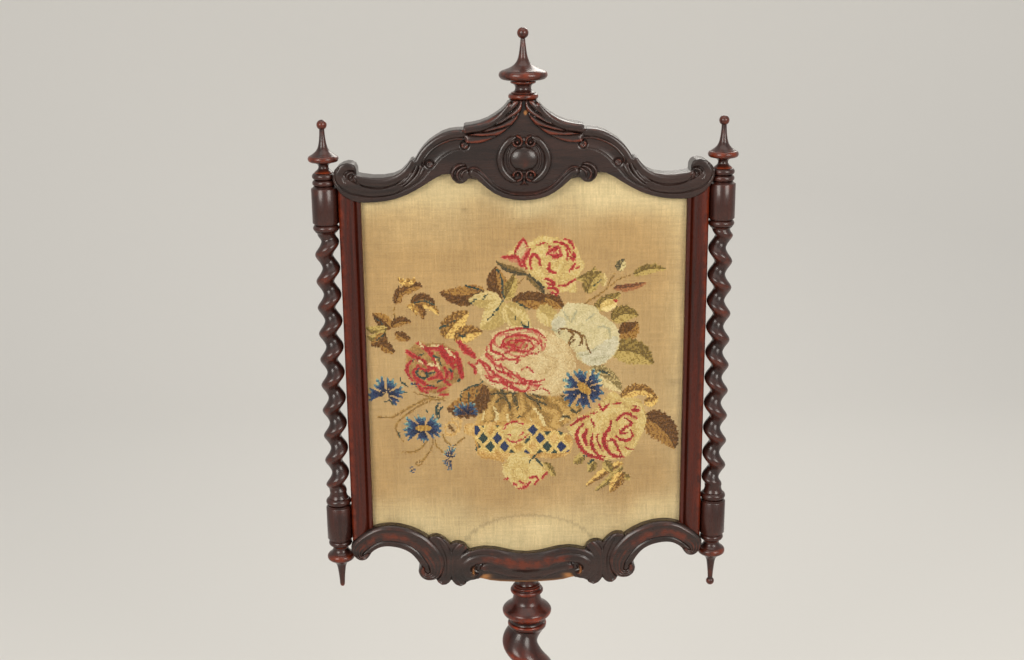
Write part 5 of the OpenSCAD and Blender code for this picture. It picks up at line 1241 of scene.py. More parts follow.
threads = {
    "topRose": [
        (2.2, (502.5, 257.5), (509.5, 256.5), (517, 258), (521.5, 266)),
        (1.6, (514, 255.5), (517, 247.5), (523, 239.5), (527.5, 246)),
        (1.8, (530, 249), (526.5, 255.5), (523.5, 263), (526.5, 268.5)),
        (1.8, (531.5, 268.5), (530, 260.5), (533.5, 254), (538, 258), (540, 264.5)),
        (1.3, (537.5, 245), (543.5, 243), (547, 243)),
        (1.8, (547, 253.5), (551, 250.5), (557, 248.5), (560, 247.5)),
        (1.8, (554, 241.5), (560, 242.5), (565, 244.5), (568.5, 248.5), (570.5, 252.5)),
        (1.5, (563, 239.5), (567.5, 239.5), (571.5, 243.5), (573.5, 248.5)),
        (1.6, (566.5, 249.5), (567.5, 254.5), (566.5, 259.5)),
        (2.4, (573.5, 252.5), (573.5, 258.5), (570.5, 257.5)),
        (2.2, (551, 254.5), (555, 256.5), (559, 254.5)),
        (2, (549.5, 262.5), (548.5, 268.5), (551, 271.5), (555, 272.5)),
        (1.6, (574.5, 263.5), (572.5, 267.5), (569.5, 270.5)), (1.3, (579.5, 266.5), (574.5, 269)),
        (2, (545, 278.5), (549, 280), (554, 283), (552, 285), (547, 283)),
        (1.6, (559, 285.5), (565, 285), (570.5, 282), (574.5, 279.5)),
        (2, (548, 287.5), (553, 288), (557.5, 291), (556, 294), (551, 292))],
    "midRose": [
        (2.2, (493.5, 341.5), (496, 335), (505.5, 331), (519.5, 328.5), (534, 330), (542, 335), (546, 340.5)),
        (2.2, (501.5, 345), (505.5, 337.5), (516, 335), (527.5, 336.5), (536.5, 340.5), (540.5, 345)),
        (2.4, (512, 344.5), (518.5, 340.5), (529, 340.5), (533, 345)),
        (2.4, (492, 340), (490.5, 348.5), (495, 351.5), (502.5, 354.5)),
        (1.8, (486.5, 347.5), (487, 353.5), (492, 356)),
        (1.6, (490.5, 356), (494, 360), (502.5, 359), (510.5, 359), (520, 360)),
        (2, (502.5, 354.5), (509.5, 350.5), (520, 346.5)),
        (2.2, (476, 364), (479, 361), (486.5, 364), (490.5, 369.5), (496, 374.5), (504.5, 379)),
        (2, (494, 364), (497, 370.5), (504.5, 372.5), (513, 374.5), (520, 379)),
        (2, (485.5, 376), (492, 381), (502.5, 382), (510.5, 383), (520, 382)),
        (1.5, (505.5, 367.5), (510.5, 371.5), (515, 374.5)),
        (1.5, (493, 384), (502.5, 382), (513, 386.5), (520, 389.5)),
        (1.8, (500, 353), (507.5, 359), (515.5, 359), (519, 356.5), (516.5, 363), (511.5, 364)),
        (2, (500, 364), (505, 373), (514, 378.5)),
        (2, (516.5, 373), (521.5, 378.5), (529.5, 381), (537, 381.5), (544.5, 379.5)),
        (1.8, (500, 379.5), (507.5, 382), (519, 383.5), (532, 382.5), (542, 380)),
        (1.8, (500, 382), (510, 387), (518, 389.5)), (1.2, (521.5, 369.5), (528, 367.5), (533, 372)),
        (1.3, (530.5, 391), (541, 388.5), (547, 390.5), (551, 395)),
        (1.5, (524, 356.5), (530.5, 353), (537, 354), (538.5, 350)),
        (2.2, (513, 350), (525.5, 351.5), (533, 347.5)), (1.2, (542, 347.5), (541, 340)),
        (2.4, (500, 347.5), (506.5, 344), (519, 347.5))],
    "leftRose": [
        (2, (406.5, 351), (414, 356), (422.5, 361), (428.5, 365.5), (435, 366.5)),
        (2, (418, 343), (424.5, 347.5), (431, 353.5), (435, 361), (437, 366.5)),
        (2.8, (427.5, 348.5), (437, 347.5), (445.5, 350.5), (452, 356), (457, 362)),
        (3, (439, 348.5), (444.5, 354.5), (449.5, 361), (453, 366.5)),
        (2.6, (456, 353.5), (458.5, 361), (460, 369.5), (462.5, 377)),
        (1.6, (412, 360), (407.5, 365.5), (407.5, 372.5), (412, 380)),
        (1.8, (418, 365.5), (414, 371.5), (416, 378), (423.5, 383), (431, 386.5)),
        (2, (420, 367.5), (426.5, 370.5), (433, 367.5), (437, 370.5), (442.5, 378), (449.5, 385)),
        (1.4, (420, 386.5), (426.5, 388.5), (436, 387.5)), (1.4, (417, 383), (421.5, 389.5), (427.5, 392.5)),
        (1.2, (438, 391.5), (446.5, 387.5)), (1.5, (428.5, 379), (436, 377), (441.5, 372.5)),
        (1.8, (444.5, 367.5), (447.5, 373.5), (445.5, 379)), (1.3, (451, 369.5), (452, 379)),
        (1.2, (440, 395), (447.5, 394.5)), (3, (459, 342), (464.5, 348.5), (469.5, 352.5), (474, 356)),
        (1.4, (468.5, 363), (474, 367.5), (475, 373.5))],
    "leftRosePale": [
        (1, (419, 342), (423.5, 348)), (1.1, (445.5, 348.5), (454, 357)), (1.2, (427.5, 364), (435, 364.5)),
        (1, (436, 360), (439, 368.5)), (0.9, (428.5, 346.5), (439, 345.5)), (0.9, (419, 360), (423.5, 363))],
    "leftRoseDark": [
        (1.2, (412, 362), (414, 359)), (1.2, (419, 355.5), (423.5, 354)),
        (1.2, (434, 356), (438, 358), (441.5, 365.5)),
        (1.6, (418, 368.5), (417, 373.5), (422.5, 378), (428.5, 376)),
        (1.8, (422.5, 370.5), (427.5, 373.5), (434, 372.5)), (1.2, (427.5, 385), (434, 386)),
        (1.2, (437, 382), (442.5, 380)), (1.6, (449.5, 368.5), (452, 371.5)), (1.2, (458, 381), (460, 379))],
    "lowRose": [
        (1.8, (571.5, 425), (579, 419.5), (588, 416)), (1.3, (590.5, 414), (597, 412.5)),
        (1.4, (599.5, 405), (602, 409.5), (606, 406.5), (608.5, 404)), (1.3, (613.5, 404), (621, 402.5)),
        (2.2, (632.5, 410), (639, 409.5)), (1, (632.5, 405.5), (639, 406.5)),
        (2, (583, 424), (578, 429.5), (576.5, 437), (581.5, 448.5), (589.5, 455), (602, 459)),
        (2.2, (586.5, 429.5), (584, 437), (586.5, 444.5)), (1.2, (591, 419), (594.5, 427.5)),
        (1.8, (593, 434.5), (591, 441), (593, 448.5), (598, 455), (604.5, 456.5)),
        (2.2, (611, 421.5), (609.5, 428), (604.5, 435.5), (604, 442), (608.5, 451), (615, 456), (623, 456)),
        (1.1, (597.5, 434.5), (597, 439.5), (602, 451)),
        (1.6, (607, 442), (611, 439.5), (615, 442), (617.5, 448.5), (620.5, 453.5)),
        (1.6, (616.5, 420.5), (621, 415.5), (627.5, 413.5), (636.5, 418)),
        (1.5, (625, 418), (631.5, 423), (627.5, 426.5), (622.5, 429.5), (620, 433), (627.5, 433)),
        (1.5, (616, 435.5), (620, 439.5), (627.5, 440), (632.5, 435.5), (630, 429.5)),
        (1.2, (625, 446), (629, 449), (633.5, 448.5))],
    "bottomBud": [
        (1.5, (505, 479), (509.5, 478)), (1.5, (513, 483), (516.5, 485.5)), (1.4, (519, 481), (523, 483)),
        (1.6, (519, 488.5), (525.5, 486.5), (530, 481.5)),
        (1.5, (529.5, 478), (534.5, 476.5), (537.5, 479), (534.5, 484)), (1.5, (542, 478), (546.5, 472.5))],
    "smallBud": [
        (1.4, (503, 429.5), (507.5, 424), (514, 421.5), (522.5, 423.5)),
        (1.4, (506.5, 438), (513, 442), (521.5, 439.5), (527.5, 434.5)), (1.2, (507.5, 434), (511.5, 435.5)),
        (1.2, (520.5, 435), (524, 432))],
    "dahliaBrown": [
        (1.6, (559, 328.5), (566, 328.5), (572.5, 330.5), (579.5, 333.5), (584.5, 337.5), (586.5, 342.5)),
        (1.6, (568.5, 331.5), (573.5, 333.5), (570.5, 338.5), (567.5, 344.5)),
        (1.4, (578.5, 332.5), (581.5, 338.5), (582.5, 344.5)), (1.3, (559, 332.5), (560, 335.5)),
        (1.8, (574, 340), (569, 344), (566.5, 349)), (1.5, (581.5, 340), (579, 345)),
        (1.3, (585.5, 340), (588, 347.5), (590.5, 353))],
    "dahliaGrey": [
        (0.9, (551, 329.5), (557, 330.5), (561, 332.5)), (0.7, (562, 310), (566.5, 316), (569.5, 321)),
        (0.7, (576.5, 310), (573.5, 317), (571.5, 322)),
        (0.7, (597.5, 328.5), (600.5, 326.5), (608.5, 328.5), (610, 336.5)),
        (0.7, (594.5, 314), (586.5, 320)), (0.7, (578, 355.5), (586.5, 354), (597, 347.5)),
        (0.7, (588, 364), (594.5, 359), (608.5, 356.5))],
    "leaves": [
        ((395.5, 303.5), (399, 286), 2.2, -1, "brown"), ((401, 293.5), (423, 286), 2.6, 3, "brown"),
        ((404, 285.5), (399, 277), 1.3, 0, "gold"), ((405.5, 286), (408.5, 278), 1.3, 0, "gold"),
        ((407.5, 285), (415, 277.5), 1.3, -1, "gold"), ((411, 303.5), (435, 304.5), 3.4, 5.5, "brown"),
        ((407.5, 305.5), (416.5, 315.5), 1.5, 3, "gold"), ((415, 305.5), (423, 319), 2.2, 3, "brown"),
        ((423, 305), (438.5, 315), 2, 3, "gold"), ((391, 328.5), (372.5, 313.5), 3.2, -1, "brown"),
        ((387.5, 327.5), (365, 327.5), 1.8, 2.5, "olive"), ((385, 331), (367.5, 336.5), 2.4, 4, "olive"),
        ((384.5, 333), (370.5, 344.5), 2.6, 3, "brown"), ((391.5, 326.5), (411, 321.5), 2.2, 3, "brown"),
        ((395.5, 332), (411, 338.5), 2.2, -2, "brown"), ((380.5, 343), (394.5, 353), 2.6, 0, "brown"),
        ((484, 290), (440, 292), 9.5, 5, "brown"), ((502, 299), (495.5, 266.5), 10, 2, "brown"),
        ((504, 299), (514, 273.5), 6, -2, "olive"), ((526.5, 273.5), (496, 261.5), 3.2, 2, "dark"),
        ((526.5, 275), (543.5, 294.5), 4.2, 3, "dark"), ((512.5, 301), (560, 307.5), 8, 4, "brown"),
        ((545, 297), (563, 308), 6, 2, "brown"), ((444, 337.5), (468.5, 311.5), 10, 2, "gold"),
        ((454.5, 340.5), (482.5, 332), 7.5, 3, "gold"), ((501, 301), (468, 301), 8, -1, "sage"),
        ((502.5, 301), (480.5, 328.5), 11, 3, "sage"), ((506.5, 303.5), (530, 327.5), 11, -2, "sage"),
        ((529, 328.5), (506.5, 307.5), 8, 0, "sage"), ((538, 307.5), (560, 326), 9, 0, "sage"),
        ((577.5, 278.5), (595.5, 266.5), 3.6, -4, "olive"), ((587.5, 293), (601.5, 271.5), 7, 3, "olive"),
        ((603.5, 286), (603.5, 272.5), 3, 0, "sage"), ((618, 270.5), (624, 258.5), 4.2, 0, "bud"),
        ((634, 274.5), (665.5, 268.5), 4.4, 3, "olive"), ((614, 288), (646.5, 282), 3, -2, "rust"),
        ((594.5, 309), (621, 293), 6, 0, "olive"), ((600.5, 308), (618, 301), 5, 0, "cream"),
        ((612, 320), (638, 315), 8, 4, "olive"), ((618, 333.5), (637.5, 322), 9, -3, "brown"),
        ((612, 351.5), (653.5, 364), 12, 6, "olive"), ((589.5, 369.5), (622, 391), 9, 2, "feather"),
        ((620.5, 398), (657.5, 398.5), 5.5, 9, "gold"), ((644, 401), (658, 396), 4, -3, "gold"),
        ((643.5, 416.5), (675.5, 448.5), 13, 5, "brown"), ((584, 455), (573.5, 463.5), 4, 0, "olive"),
        ((594.5, 461), (588.5, 472), 4.5, 0, "olive"), ((622.5, 462.5), (586, 486), 3.4, -2, "gold"),
        ((622.5, 466.5), (595, 490.5), 3, 1, "olive"), ((620, 474), (630.5, 479), 3, 0, "olive"),
        ((604.5, 461), (612, 472.5), 4.4, 0, "olive"), ((622.5, 472.5), (609.5, 492), 5.5, 0, "gold"),
        ((544.5, 462.5), (555, 476), 3.4, 0, "olive"), ((483.5, 384.5), (446.5, 408.5), 13, 9, "brown")],
    "tanDark": [
        (1.6, (488.5, 394.5), (495, 393.5), (502.5, 391.5), (501.5, 389.5)),
        (1.4, (496, 390.5), (502.5, 394.5), (506.5, 399), (510.5, 406.5)),
        (1.6, (506.5, 393.5), (516, 392.5), (512, 394.5)), (1.5, (512, 393.5), (514, 400), (518, 407.5)),
        (1.2, (501.5, 397), (495, 403)), (1.6, (500, 392.5), (505, 393.5), (510, 392.5)),
        (1.4, (500, 396), (507.5, 401), (510, 409)), (1.4, (511.5, 393.5), (516.5, 400), (516.5, 409)),
        (1.8, (524, 391), (529.5, 397.5), (537, 401), (547, 405)),
        (1.4, (529.5, 393.5), (537, 396), (544.5, 398.5)), (1.4, (535.5, 400), (541, 409)),
        (1.6, (561, 396), (565, 396)), (1.8, (569, 406.5), (575.5, 412.5), (581.5, 409)),
        (1.8, (562.5, 416.5), (567.5, 416.5), (570, 418)), (1.3, (518, 417), (521.5, 415.5))],
    "stems": [
        (1, (395.5, 303.5), (394, 311.5), (396, 320.5), (398, 327.5)),
        (0.9, (509.5, 301), (516, 286.5), (526.5, 275.5)), (1.6, (584.5, 303.5), (596.5, 296), (606.5, 289)),
        (1.2, (606.5, 289.5), (610, 280), (615, 273.5)), (1, (608.5, 287.5), (618, 279.5), (630, 275)),
        (1, (609.5, 289), (620, 286)), (1.2, (445.5, 397.5), (428.5, 396), (414, 392.5)),
        (1.7, (445.5, 398), (428.5, 398.5), (414, 405), (402.5, 411.5), (392, 417), (378.5, 417)),
        (1.5, (445.5, 400.5), (433, 400), (418, 406.5), (404.5, 416), (397, 424), (397, 432.5), (403.5, 441)),
        (1.5, (428.5, 439.5), (422.5, 446.5), (414, 451.5), (402.5, 452)),
        (1.4, (433, 439.5), (432, 447.5), (425.5, 457), (418, 464)),
        (1.3, (435, 440), (437, 446.5), (443.5, 452.5), (447.5, 453.5)),
        (1.3, (464.5, 437.5), (455, 445), (452, 448.5)), (1.6, (442.5, 434.5), (446.5, 442), (451, 445)),
        (1.4, (418, 461), (416, 464), (420, 465), (422.5, 461), (417, 461))],
    "greenDashes": [
        (1.2, (465, 285), (472.5, 287.5), (482, 290)), (1.3, (471.5, 303), (476, 298.5)),
        (1.2, (483, 299), (487.5, 294)), (1.2, (497, 269.5), (501, 276.5), (502.5, 289.5), (503.5, 300)),
        (1.1, (502.5, 301), (496, 310.5), (487.5, 319.5)), (1.1, (515, 301), (522.5, 305.5), (529, 309)),
        (1, (515, 316), (515.5, 319)), (1.4, (521, 322), (523.5, 326), (528, 326.5), (528, 321.5)),
        (1, (412.5, 303), (425.5, 301), (433.5, 305)), (1, (438.5, 328.5), (446.5, 324.5), (454.5, 320.5)),
        (1.3, (457, 333), (463.5, 336.5), (466, 332.5)), (1, (376, 318), (384, 324.5)),
        (1, (377, 340.5), (385, 332.5)), (1, (593.5, 285.5), (600, 280)),
        (1.3, (599.5, 370), (604.5, 372), (609.5, 374.5)), (1, (583, 456), (586.5, 455.5)),
        (1.6, (588, 463.5), (594, 459.5)), (1.4, (536.5, 453.5), (530.5, 460), (528.5, 463.5)),
        (1.4, (535.5, 458.5), (539.5, 462.5), (542.5, 466.5)), (1.1, (400, 378), (401.5, 382), (407.5, 386)),
        (0.9, (404.5, 392.5), (407, 393)), (1, (385, 402), (389.5, 400.5), (393.5, 405)),
        (1.2, (397.5, 431.5), (400, 436)), (1.2, (461.5, 391.5), (471, 386.5), (481.5, 383), (480, 380)),
        (1, (461.5, 392.5), (460, 401)), (1, (468.5, 390.5), (468.5, 401)), (1, (477, 388.5), (476, 396)),
        (1.6, (439, 403), (436, 408.5), (437, 417)), (1.6, (443.5, 405), (439, 411.5), (439, 418)),
        (1, (426.5, 409.5), (427.5, 412.5))],
    "ringTendril": [
        (2, (449.5, 422), (445.5, 427.5), (446.5, 433.5), (453, 434.5), (457.5, 429.5), (455, 423),
         (449.5, 422)),
        (1.8, (452, 419), (460, 420), (459, 432.5))],
    "basketRim": [
        (2.2, (478, 452.5), (482.5, 457), (492, 458), (504.5, 460.5)),
        (2, (541, 453), (555, 455), (569, 452)), (1.6, (474, 438), (477, 445), (479, 452.5)),
        (1.4, (500, 461), (505, 460)), (1.4, (464.5, 431.5), (466.5, 425), (472, 424)),
        (1, (466.5, 432.5), (467, 427.5), (469.5, 425))],
    "tanLight": [
        (2.0, (493, 425), (497, 416), (494, 408)), (2.0, (545, 428), (541, 417), (535, 409)),
        (1.8, (533, 427), (530, 418)), (1.6, (508, 424), (507, 415)), (1.8, (560, 420), (566, 414)),
        (1.5, (482, 421), (484, 411))],
    "tendrilEye": [
        (2.4, (449, 425), (451.5, 428.5), (454, 431))],
    "redDot": [
        (2.2, (614.5, 300), (616.5, 301.5))]}

strokes(threads["stems"], "stem")
for root, tip, half, bend, wool in threads["leaves"][:-1]:
    # sprigs at the left are drawn fuller
    fuller = 1.9 if root[0] < 402 else 1.5 if root[0] < 425 else 1.0
    leaf(root, tip, half * fuller, bend, wool)
fold = patch(shapes["tanMass"], "tan")
spread = np.arctan2(u[fold] - 520, v[fold] - 366)                          # folds that fall from the rose
lay(fold, "tan", 0.3 + 0.9 * np.sin(spread * 21 + 5 * soft[fold]) + (v[fold] - 392) / 26)
strokes(threads["tanLight"], "feather", 1.8)
strokes(threads["tanDark"], "dark", 0.2)
patch(shapes["dahlia"], "white", 1.1, 0.35)
patch(shapes["dahliaFoot"], "pale", 1.4, 0.4)
patch(shapes["dahliaEdge"], "pale", 1.0, 0.4)
strokes(threads["dahliaGrey"], "grey", 1.3, 1.9)
strokes(threads["dahliaBrown"], "umber")
patch(shapes["midRose"], "blush", 1.2, 0.4)
petals = patch(shapes["midRosePetals"], "blush")
p = np.sin(34 * np.hypot((u[petals] - 531) / 54, (v[petals] - 333) / 52) + 6 * soft[petals])
lay(petals[p > 0.25], "pink", 1.6)
lay(petals[p > 0.75], "red", 1.2)
whorl(518, 343, 27, 14.5, 2.6, 0.6, ("pink", "blush", "blush"))
whorl(515, 344, 12, 7.5, 1.8, 0.6, ("red", "pink", "earth"))
strokes(threads["midRose"], "red", 1.0, 0.85)
patch(shapes["leftRose"], "earth", 1.0, 0.5)
strokes(threads["leftRose"], "red", 0.8, 1.6)
strokes(threads["leftRosePale"], "blush", 1.2, 1.5)
strokes(threads["leftRoseDark"], "green")
patch(shapes["topRose"], "rose", 1.2, 0.4)
patch(shapes["topRosePink"], "pink", 1.0, 0.4)
patch(shapes["topRoseFold"], "blush", 0.4, 0.3)
whorl(555, 252, 9, 7.5, 1.6, 2.0, ("red", "pink", "rose"))
strokes(threads["topRose"], "red", 0.9, 1.3)
leaf(*threads["leaves"][-1])
patch(shapes["basket"], "ochre", 1.2, 0.6)
# basket: lozenges of blue and dark green wool between crossing canes
bu, bv = (u - 476) / 14.2, (v - 438) / 16.5
f1, f2 = (bu + bv) % 1.0, (bu - bv) % 1.0
pick = (np.floor(bu + bv) * 3 + np.floor(bu - bv) * 5) % 7
cane = np.minimum(np.minimum(f1, 1 - f1), np.minimum(f2, 1 - f2)) < 0.15
field = (worked > 0) & (u > 474) & (u < 570) & (v > 425 + 6 * (u > 540)) & (v < 453)
lay(np.flatnonzero(field & cane), "cream", 0.3)
lay(np.flatnonzero(field & ~cane & (pick < 4)), "green", 1.0)
deep = np.flatnonzero(field & ~cane & ((pick == 1) | (pick == 4)))
paint[deep] = blues[1] * (0.9 + 0.3 * speck[deep])[:, None]
strokes(threads["basketRim"], "ochre", 0.8)
strokes(threads["ringTendril"], "ochre", 1.4)
strokes(threads["tendrilEye"], "umber")
patch(shapes["bottomBud"], "rose", 1.3, 0.5)
strokes(threads["bottomBud"], "red", widen=1.3)
ringAngles = np.linspace(0, 2 * math.pi, 14)[:-1]
patch(np.stack([515.5 + 13.5 * np.cos(ringAngles), 432 + 11.5 * np.sin(ringAngles)], 1), "rose", 1.3, 0.4)
strokes(threads["smallBud"], "red")
patch(shapes["lowRose"], "rose", 1.0, 0.5)
strokes(threads["lowRose"], "red", 0.5, 1.3)
cornflower(386.5, 394, 9, (17, 16), None, (-40, 220))
cornflower(466.5, 414, 7, (13, 12), None, (10, 200))
cornflower(423.5, 428, 13, (20, 12.5), (8.0, 3.1, 1, 0))
cornflower(584.0, 388, 13, (21, 19.5), (8.2, 4.2, 0.74, 0.67))
cornflower(412.5, 469, 5, (4, 3.5))
cornflower(450.5, 458, 8, (7, 12), None, (20, 290))
cornflower(415.5, 384, 4, (4, 3))
strokes(threads["greenDashes"], "green")
strokes(threads["redDot"], "red")

# the sheet: one quad to a stitch, cut to the panel's outline, wool standing half a millimetre above the
# canvas
px, pz = np.meshgrid(np.linspace(-cloth["half"], cloth["half"], nx + 1),
                     np.linspace(cloth["low"], cloth["top"], nz + 1), indexing="ij")
padded = np.pad(worked.reshape(nx, nz), 1, mode="edge")
high = (padded[1:, 1:] + padded[:-1, 1:] + padded[1:, :-1] + padded[:-1, :-1]) / 4
points = np.stack([px, cloth["y"] - cloth["rise"] * high, pz], -1).reshape(-1, 3)
quads = gridFaces(nx + 1, nz + 1)
corner = lambda flat, z0, z1: z0 + (z1 - z0) * np.clip((np.abs(gx) - flat) / (cloth["half"] - flat), 0, 1)
keep = ((gz > corner(cloth["lowFlat"], cloth["low"], cloth["lowCorner"]) + 0.2)
        & (gz < corner(cloth["topFlat"], cloth["top"], cloth["topCorner"]) - 0.2))
quads, paint, worked = quads[keep], paint[keep], worked[keep]
used, again = np.unique(quads, return_inverse=True)
points, quads = points[used], again.reshape(-1, 4)


def woolAndCanvas():
    # Berlin wool in tent stitch on tan canvas: soft matt wool with a slanting thread to each stitch, and
    # between the flowers a plain weave with slubs; each thread has a painted highlight on its crest and
    # painted shade in the furrows beside it. The photograph is too coarse to show a stitch: 1.7 mm, 15 to the
    # inch, was taken
    m, t = newMaterial("wool tent stitch on woven canvas")
    # a Mix node's sockets for numbers; a wave that repeats each stitch
    floatA, floatB, onePerStitch = 2, 3, 0.314
    colour = addNode(t, "Attribute", {"attribute_name": "wool"}).outputs["Color"]
    isWool = addNode(t, "Attribute", {"attribute_name": "worked"}).outputs["Fac"]
    squares = addNode(t, "UVMap", {"uv_map": "stitch"}).outputs[0]
    slant = addNode(t, "Mapping", {}, {"Vector": squares, "Rotation": (0, 0, math.radians(45))})
    thread = addNode(t, "TexWave", {"wave_type": "BANDS", "bands_direction": "X"}, {
        "Vector": slant.outputs[0], "Scale": onePerStitch * 1.4142, "Distortion": 0.6, "Detail": 1.0,
        "Detail Scale": 2.0})
    warp, weft = (addNode(t, "TexWave", {"wave_type": "BANDS", "bands_direction": way}, {
        "Vector": squares, "Scale": onePerStitch * 1.5, "Distortion": 1.2, "Detail": 2.0,
        "Detail Scale": 0.4}).outputs["Fac"] for way in "XY")
    slubMap = addNode(t, "Mapping", {}, {"Vector": squares, "Scale": (0.9, 0.045, 1)})
    slub = addNode(t, "TexNoise", {}, {"Vector": slubMap.outputs[0], "Scale": 1.0, "Detail": 2.0})
    weave = addNode(t, "Math", {"operation": "MULTIPLY"}, {0: warp, 1: weft})
    height = addNode(t, "Mix", {"data_type": "FLOAT"},
                     {"Factor": isWool, floatA: weave.outputs[0], floatB: thread.outputs["Fac"]})
    cloud = addNode(t, "MapRange", {}, {
        "Value": slub.outputs["Fac"], "From Min": 0.3, "From Max": 0.7, "To Min": 0.95, "To Max": 1.04})
    # painted highlight and painted shade: the colour is multiplied by 0.76 in the furrows between threads, up
    # to 1.08 on their crests, and by the slubs
    paintedThreadShade = addNode(t, "MapRange", {}, {"Value": height.outputs[0], "To Min": 0.76, "To Max": 1.08})
    shade = addNode(t, "Math", {"operation": "MULTIPLY"}, {0: paintedThreadShade.outputs[0], 1: cloud.outputs[0]})
    woolWithPaintedShade = addNode(t, "Mix", {"data_type": "RGBA", "blend_type": "MULTIPLY"},
                   {"Factor": 1.0, mixA: colour, mixB: shade.outputs[0]})
    bump = addNode(t, "Bump", {}, {"Height": height.outputs[0], "Strength": 0.5, "Distance": 0.0004})
    s = addNode(t, "BsdfPrincipled", {}, {
        "Base Color": woolWithPaintedShade.outputs[mixOut], "Roughness": 0.9, "Specular IOR Level": 0.15,
        "Sheen Weight": 0.12,
        "Sheen Roughness": 0.5, "Normal": bump.outputs[0]})
    addNode(t, "OutputMaterial", {}, {"Surface": s.outputs[0]})
    return m


canvas = makePiece("needlework", points, quads, "screen", woolAndCanvas(),
                   ["needlework_canvas"],
                   sharp=0, weld=0)
colours = np.concatenate([np.clip(paint, 0, 1), np.ones((len(paint), 1))], 1).repeat(4, 0).astype(np.float32)
canvas.data.attributes.new("wool", "FLOAT_COLOR", "CORNER").data.foreach_set("color", colours.ravel())
isWool = worked.repeat(4).astype(np.float32)
canvas.data.attributes.new("worked", "FLOAT", "CORNER").data.foreach_set("value", isWool)
squares = np.stack([(points[:, 0] + cloth["half"]) / cellX,
                    (points[:, 2] - cloth["low"]) / cellZ], 1)[quads.ravel()]
canvas.data.uv_layers.new(name="stitch").data.foreach_set("uv", squares.astype(np.float32).ravel())
print("needlework stitched,", len(quads), "stitches,", round(len(quads) * cellX * cellZ / 100, 1),
      "square cm")

# studio: place, aim, size and power of each soft box, in metres and watts
studio = {"floor": "#d9d6d0", "glow": "#efece6", "glowLevel": 0.92, "pale": 0.45, "wide": 9.0, "near": -4.0,
          "turn": 2.6, "radius": 1.4, "high": 4.2, "lamp": "#fffaf2", "room": "#f2efe9", "roomLight": 0.34,
          "roomSeen": 0.74,
          "boxes": {"boxLeft": ((-1.7, -2.3, 2.05), (0, 0, 1.0), (1.4, 1.4), 60),
                    "boxRight": ((1.8, -2.2, 2.05), (0, 0, 1.0), (1.4, 1.4), 56),
                    "boxOver": ((0, -0.4, 3.4), (0, 0.4, 0.8), (2.6, 2.0), 22),
                    "boxBehind": ((0.8, 2.4, 2.6), (0, 0, 0.9), (1.6, 1.2), 32)}}


def seenDirectly(tree):
    # 1 for what the camera sees, straight, in a reflection or through glass
    path = addNode(tree, "LightPath").outputs
    seen = path["Is Camera Ray"]
    for ray in ("Is Glossy Ray", "Is Transmission Ray"):
        seen = addNode(tree, "Math", {"operation": "MAXIMUM"}, {0: seen, 1: path[ray]}).outputs[0]
    return seen


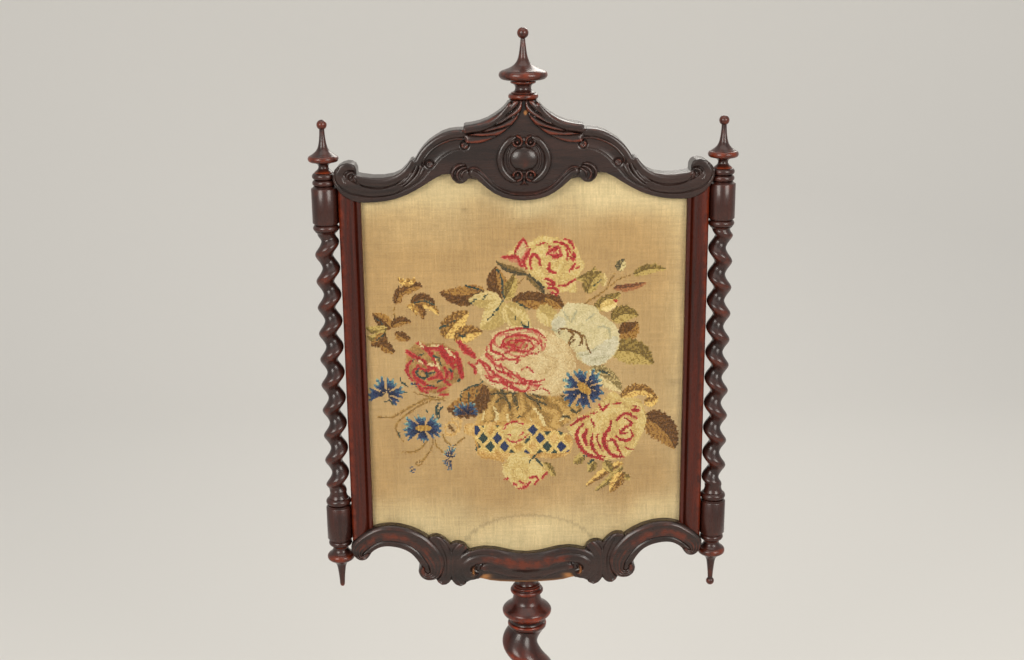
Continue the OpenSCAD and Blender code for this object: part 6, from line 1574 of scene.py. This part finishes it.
def paperSweep():
    # floor that turns up into a wall in a quarter circle behind the object; matt paper, a little paler to the
    # eye
    a = np.linspace(0, np.pi / 2, 24)
    wall = studio["turn"] + studio["radius"]
    y = np.concatenate([[studio["near"]], studio["turn"] + studio["radius"] * np.sin(a), [wall]])
    z = np.concatenate([[0], studio["radius"] * (1 - np.cos(a)), [studio["high"]]])
    verts = np.concatenate([np.stack([np.full_like(y, x), y, z], 1)
                            for x in (-studio["wide"] / 2, studio["wide"] / 2)])
    mesh = bpy.data.meshes.new("paperSweep")
    mesh.from_pydata(verts.tolist(), [], gridFaces(2, len(y)).tolist())
    mesh.polygons.foreach_set("use_smooth", np.ones(len(mesh.polygons), bool))
    m, t = newMaterial("matt background paper")
    s = addNode(t, "BsdfPrincipled", {}, {
        "Base Color": linear(studio["floor"]), "Roughness": 0.9, "Specular IOR Level": 0.1})
    share = addNode(t, "Math", {"operation": "MULTIPLY"}, {0: seenDirectly(t), 1: studio["pale"]})
    glow = addNode(t, "Emission", {}, {"Color": linear(studio["glow"]), "Strength": studio["glowLevel"]})
    paler = addNode(t, "MixShader", {}, {0: share.outputs[0], 1: s.outputs[0], 2: glow.outputs[0]})
    addNode(t, "OutputMaterial", {}, {"Surface": paler.outputs[0]})
    mesh.materials.append(m)
    sweep = bpy.data.objects.new("paperSweep", mesh)
    bpy.context.scene.collection.objects.link(sweep)


paperSweep()
for name, (place, aim, size, power) in studio["boxes"].items():
    light = bpy.data.lights.new(name, "AREA")
    light.shape, light.size, light.size_y, light.energy = "RECTANGLE", size[0], size[1], power
    light.color = linear(studio["lamp"])[:3]
    box = bpy.data.objects.new(name, light)
    box.location = place
    box.rotation_euler = (Vector(aim) - Vector(place)).to_track_quat("-Z", "Y").to_euler()
    bpy.context.scene.collection.objects.link(box)

world = bpy.data.worlds.new("paleRoom")
bpy.context.scene.world = world
world.use_nodes = True
room = world.node_tree
room.nodes.clear()
level = addNode(room, "MapRange", {}, {
    "Value": seenDirectly(room), "To Min": studio["roomLight"], "To Max": studio["roomSeen"]})
glow = addNode(room, "Background", {}, {"Color": linear(studio["room"]), "Strength": level.outputs[0]})
addNode(room, "OutputWorld", {}, {"Surface": glow.outputs[0]})
print("studio lit")

# camera: stands 1.9 m in front at eye height and looks down a little, as in the photograph; angles in degrees
view = {"place": (-0.0506, stemY * mm - 1.884, 1.497), "down": 15.37, "yaw": 0.98, "roll": 0.56,
        "lens": 48.34}
cam = bpy.data.cameras.new("camera")
cam.lens, cam.sensor_width, cam.sensor_fit = view["lens"], 36.0, "HORIZONTAL"
camera = bpy.data.objects.new("camera", cam)
down, yaw, roll = (math.radians(view[k]) for k in ("down", "yaw", "roll"))
forward = Vector((math.sin(yaw) * math.cos(down), math.cos(yaw) * math.cos(down), -math.sin(down)))
across = Vector((math.cos(yaw), -math.sin(yaw), 0))
upright = across.cross(forward)
right = across * math.cos(roll) - upright * math.sin(roll)
top = across * math.sin(roll) + upright * math.cos(roll)
camera.matrix_world = Matrix.Translation(view["place"]) @ Matrix((right, top, -forward)).transposed().to_4x4()
bpy.context.scene.collection.objects.link(camera)
bpy.context.scene.camera = camera
bpy.context.scene.view_settings.view_transform = "Standard"
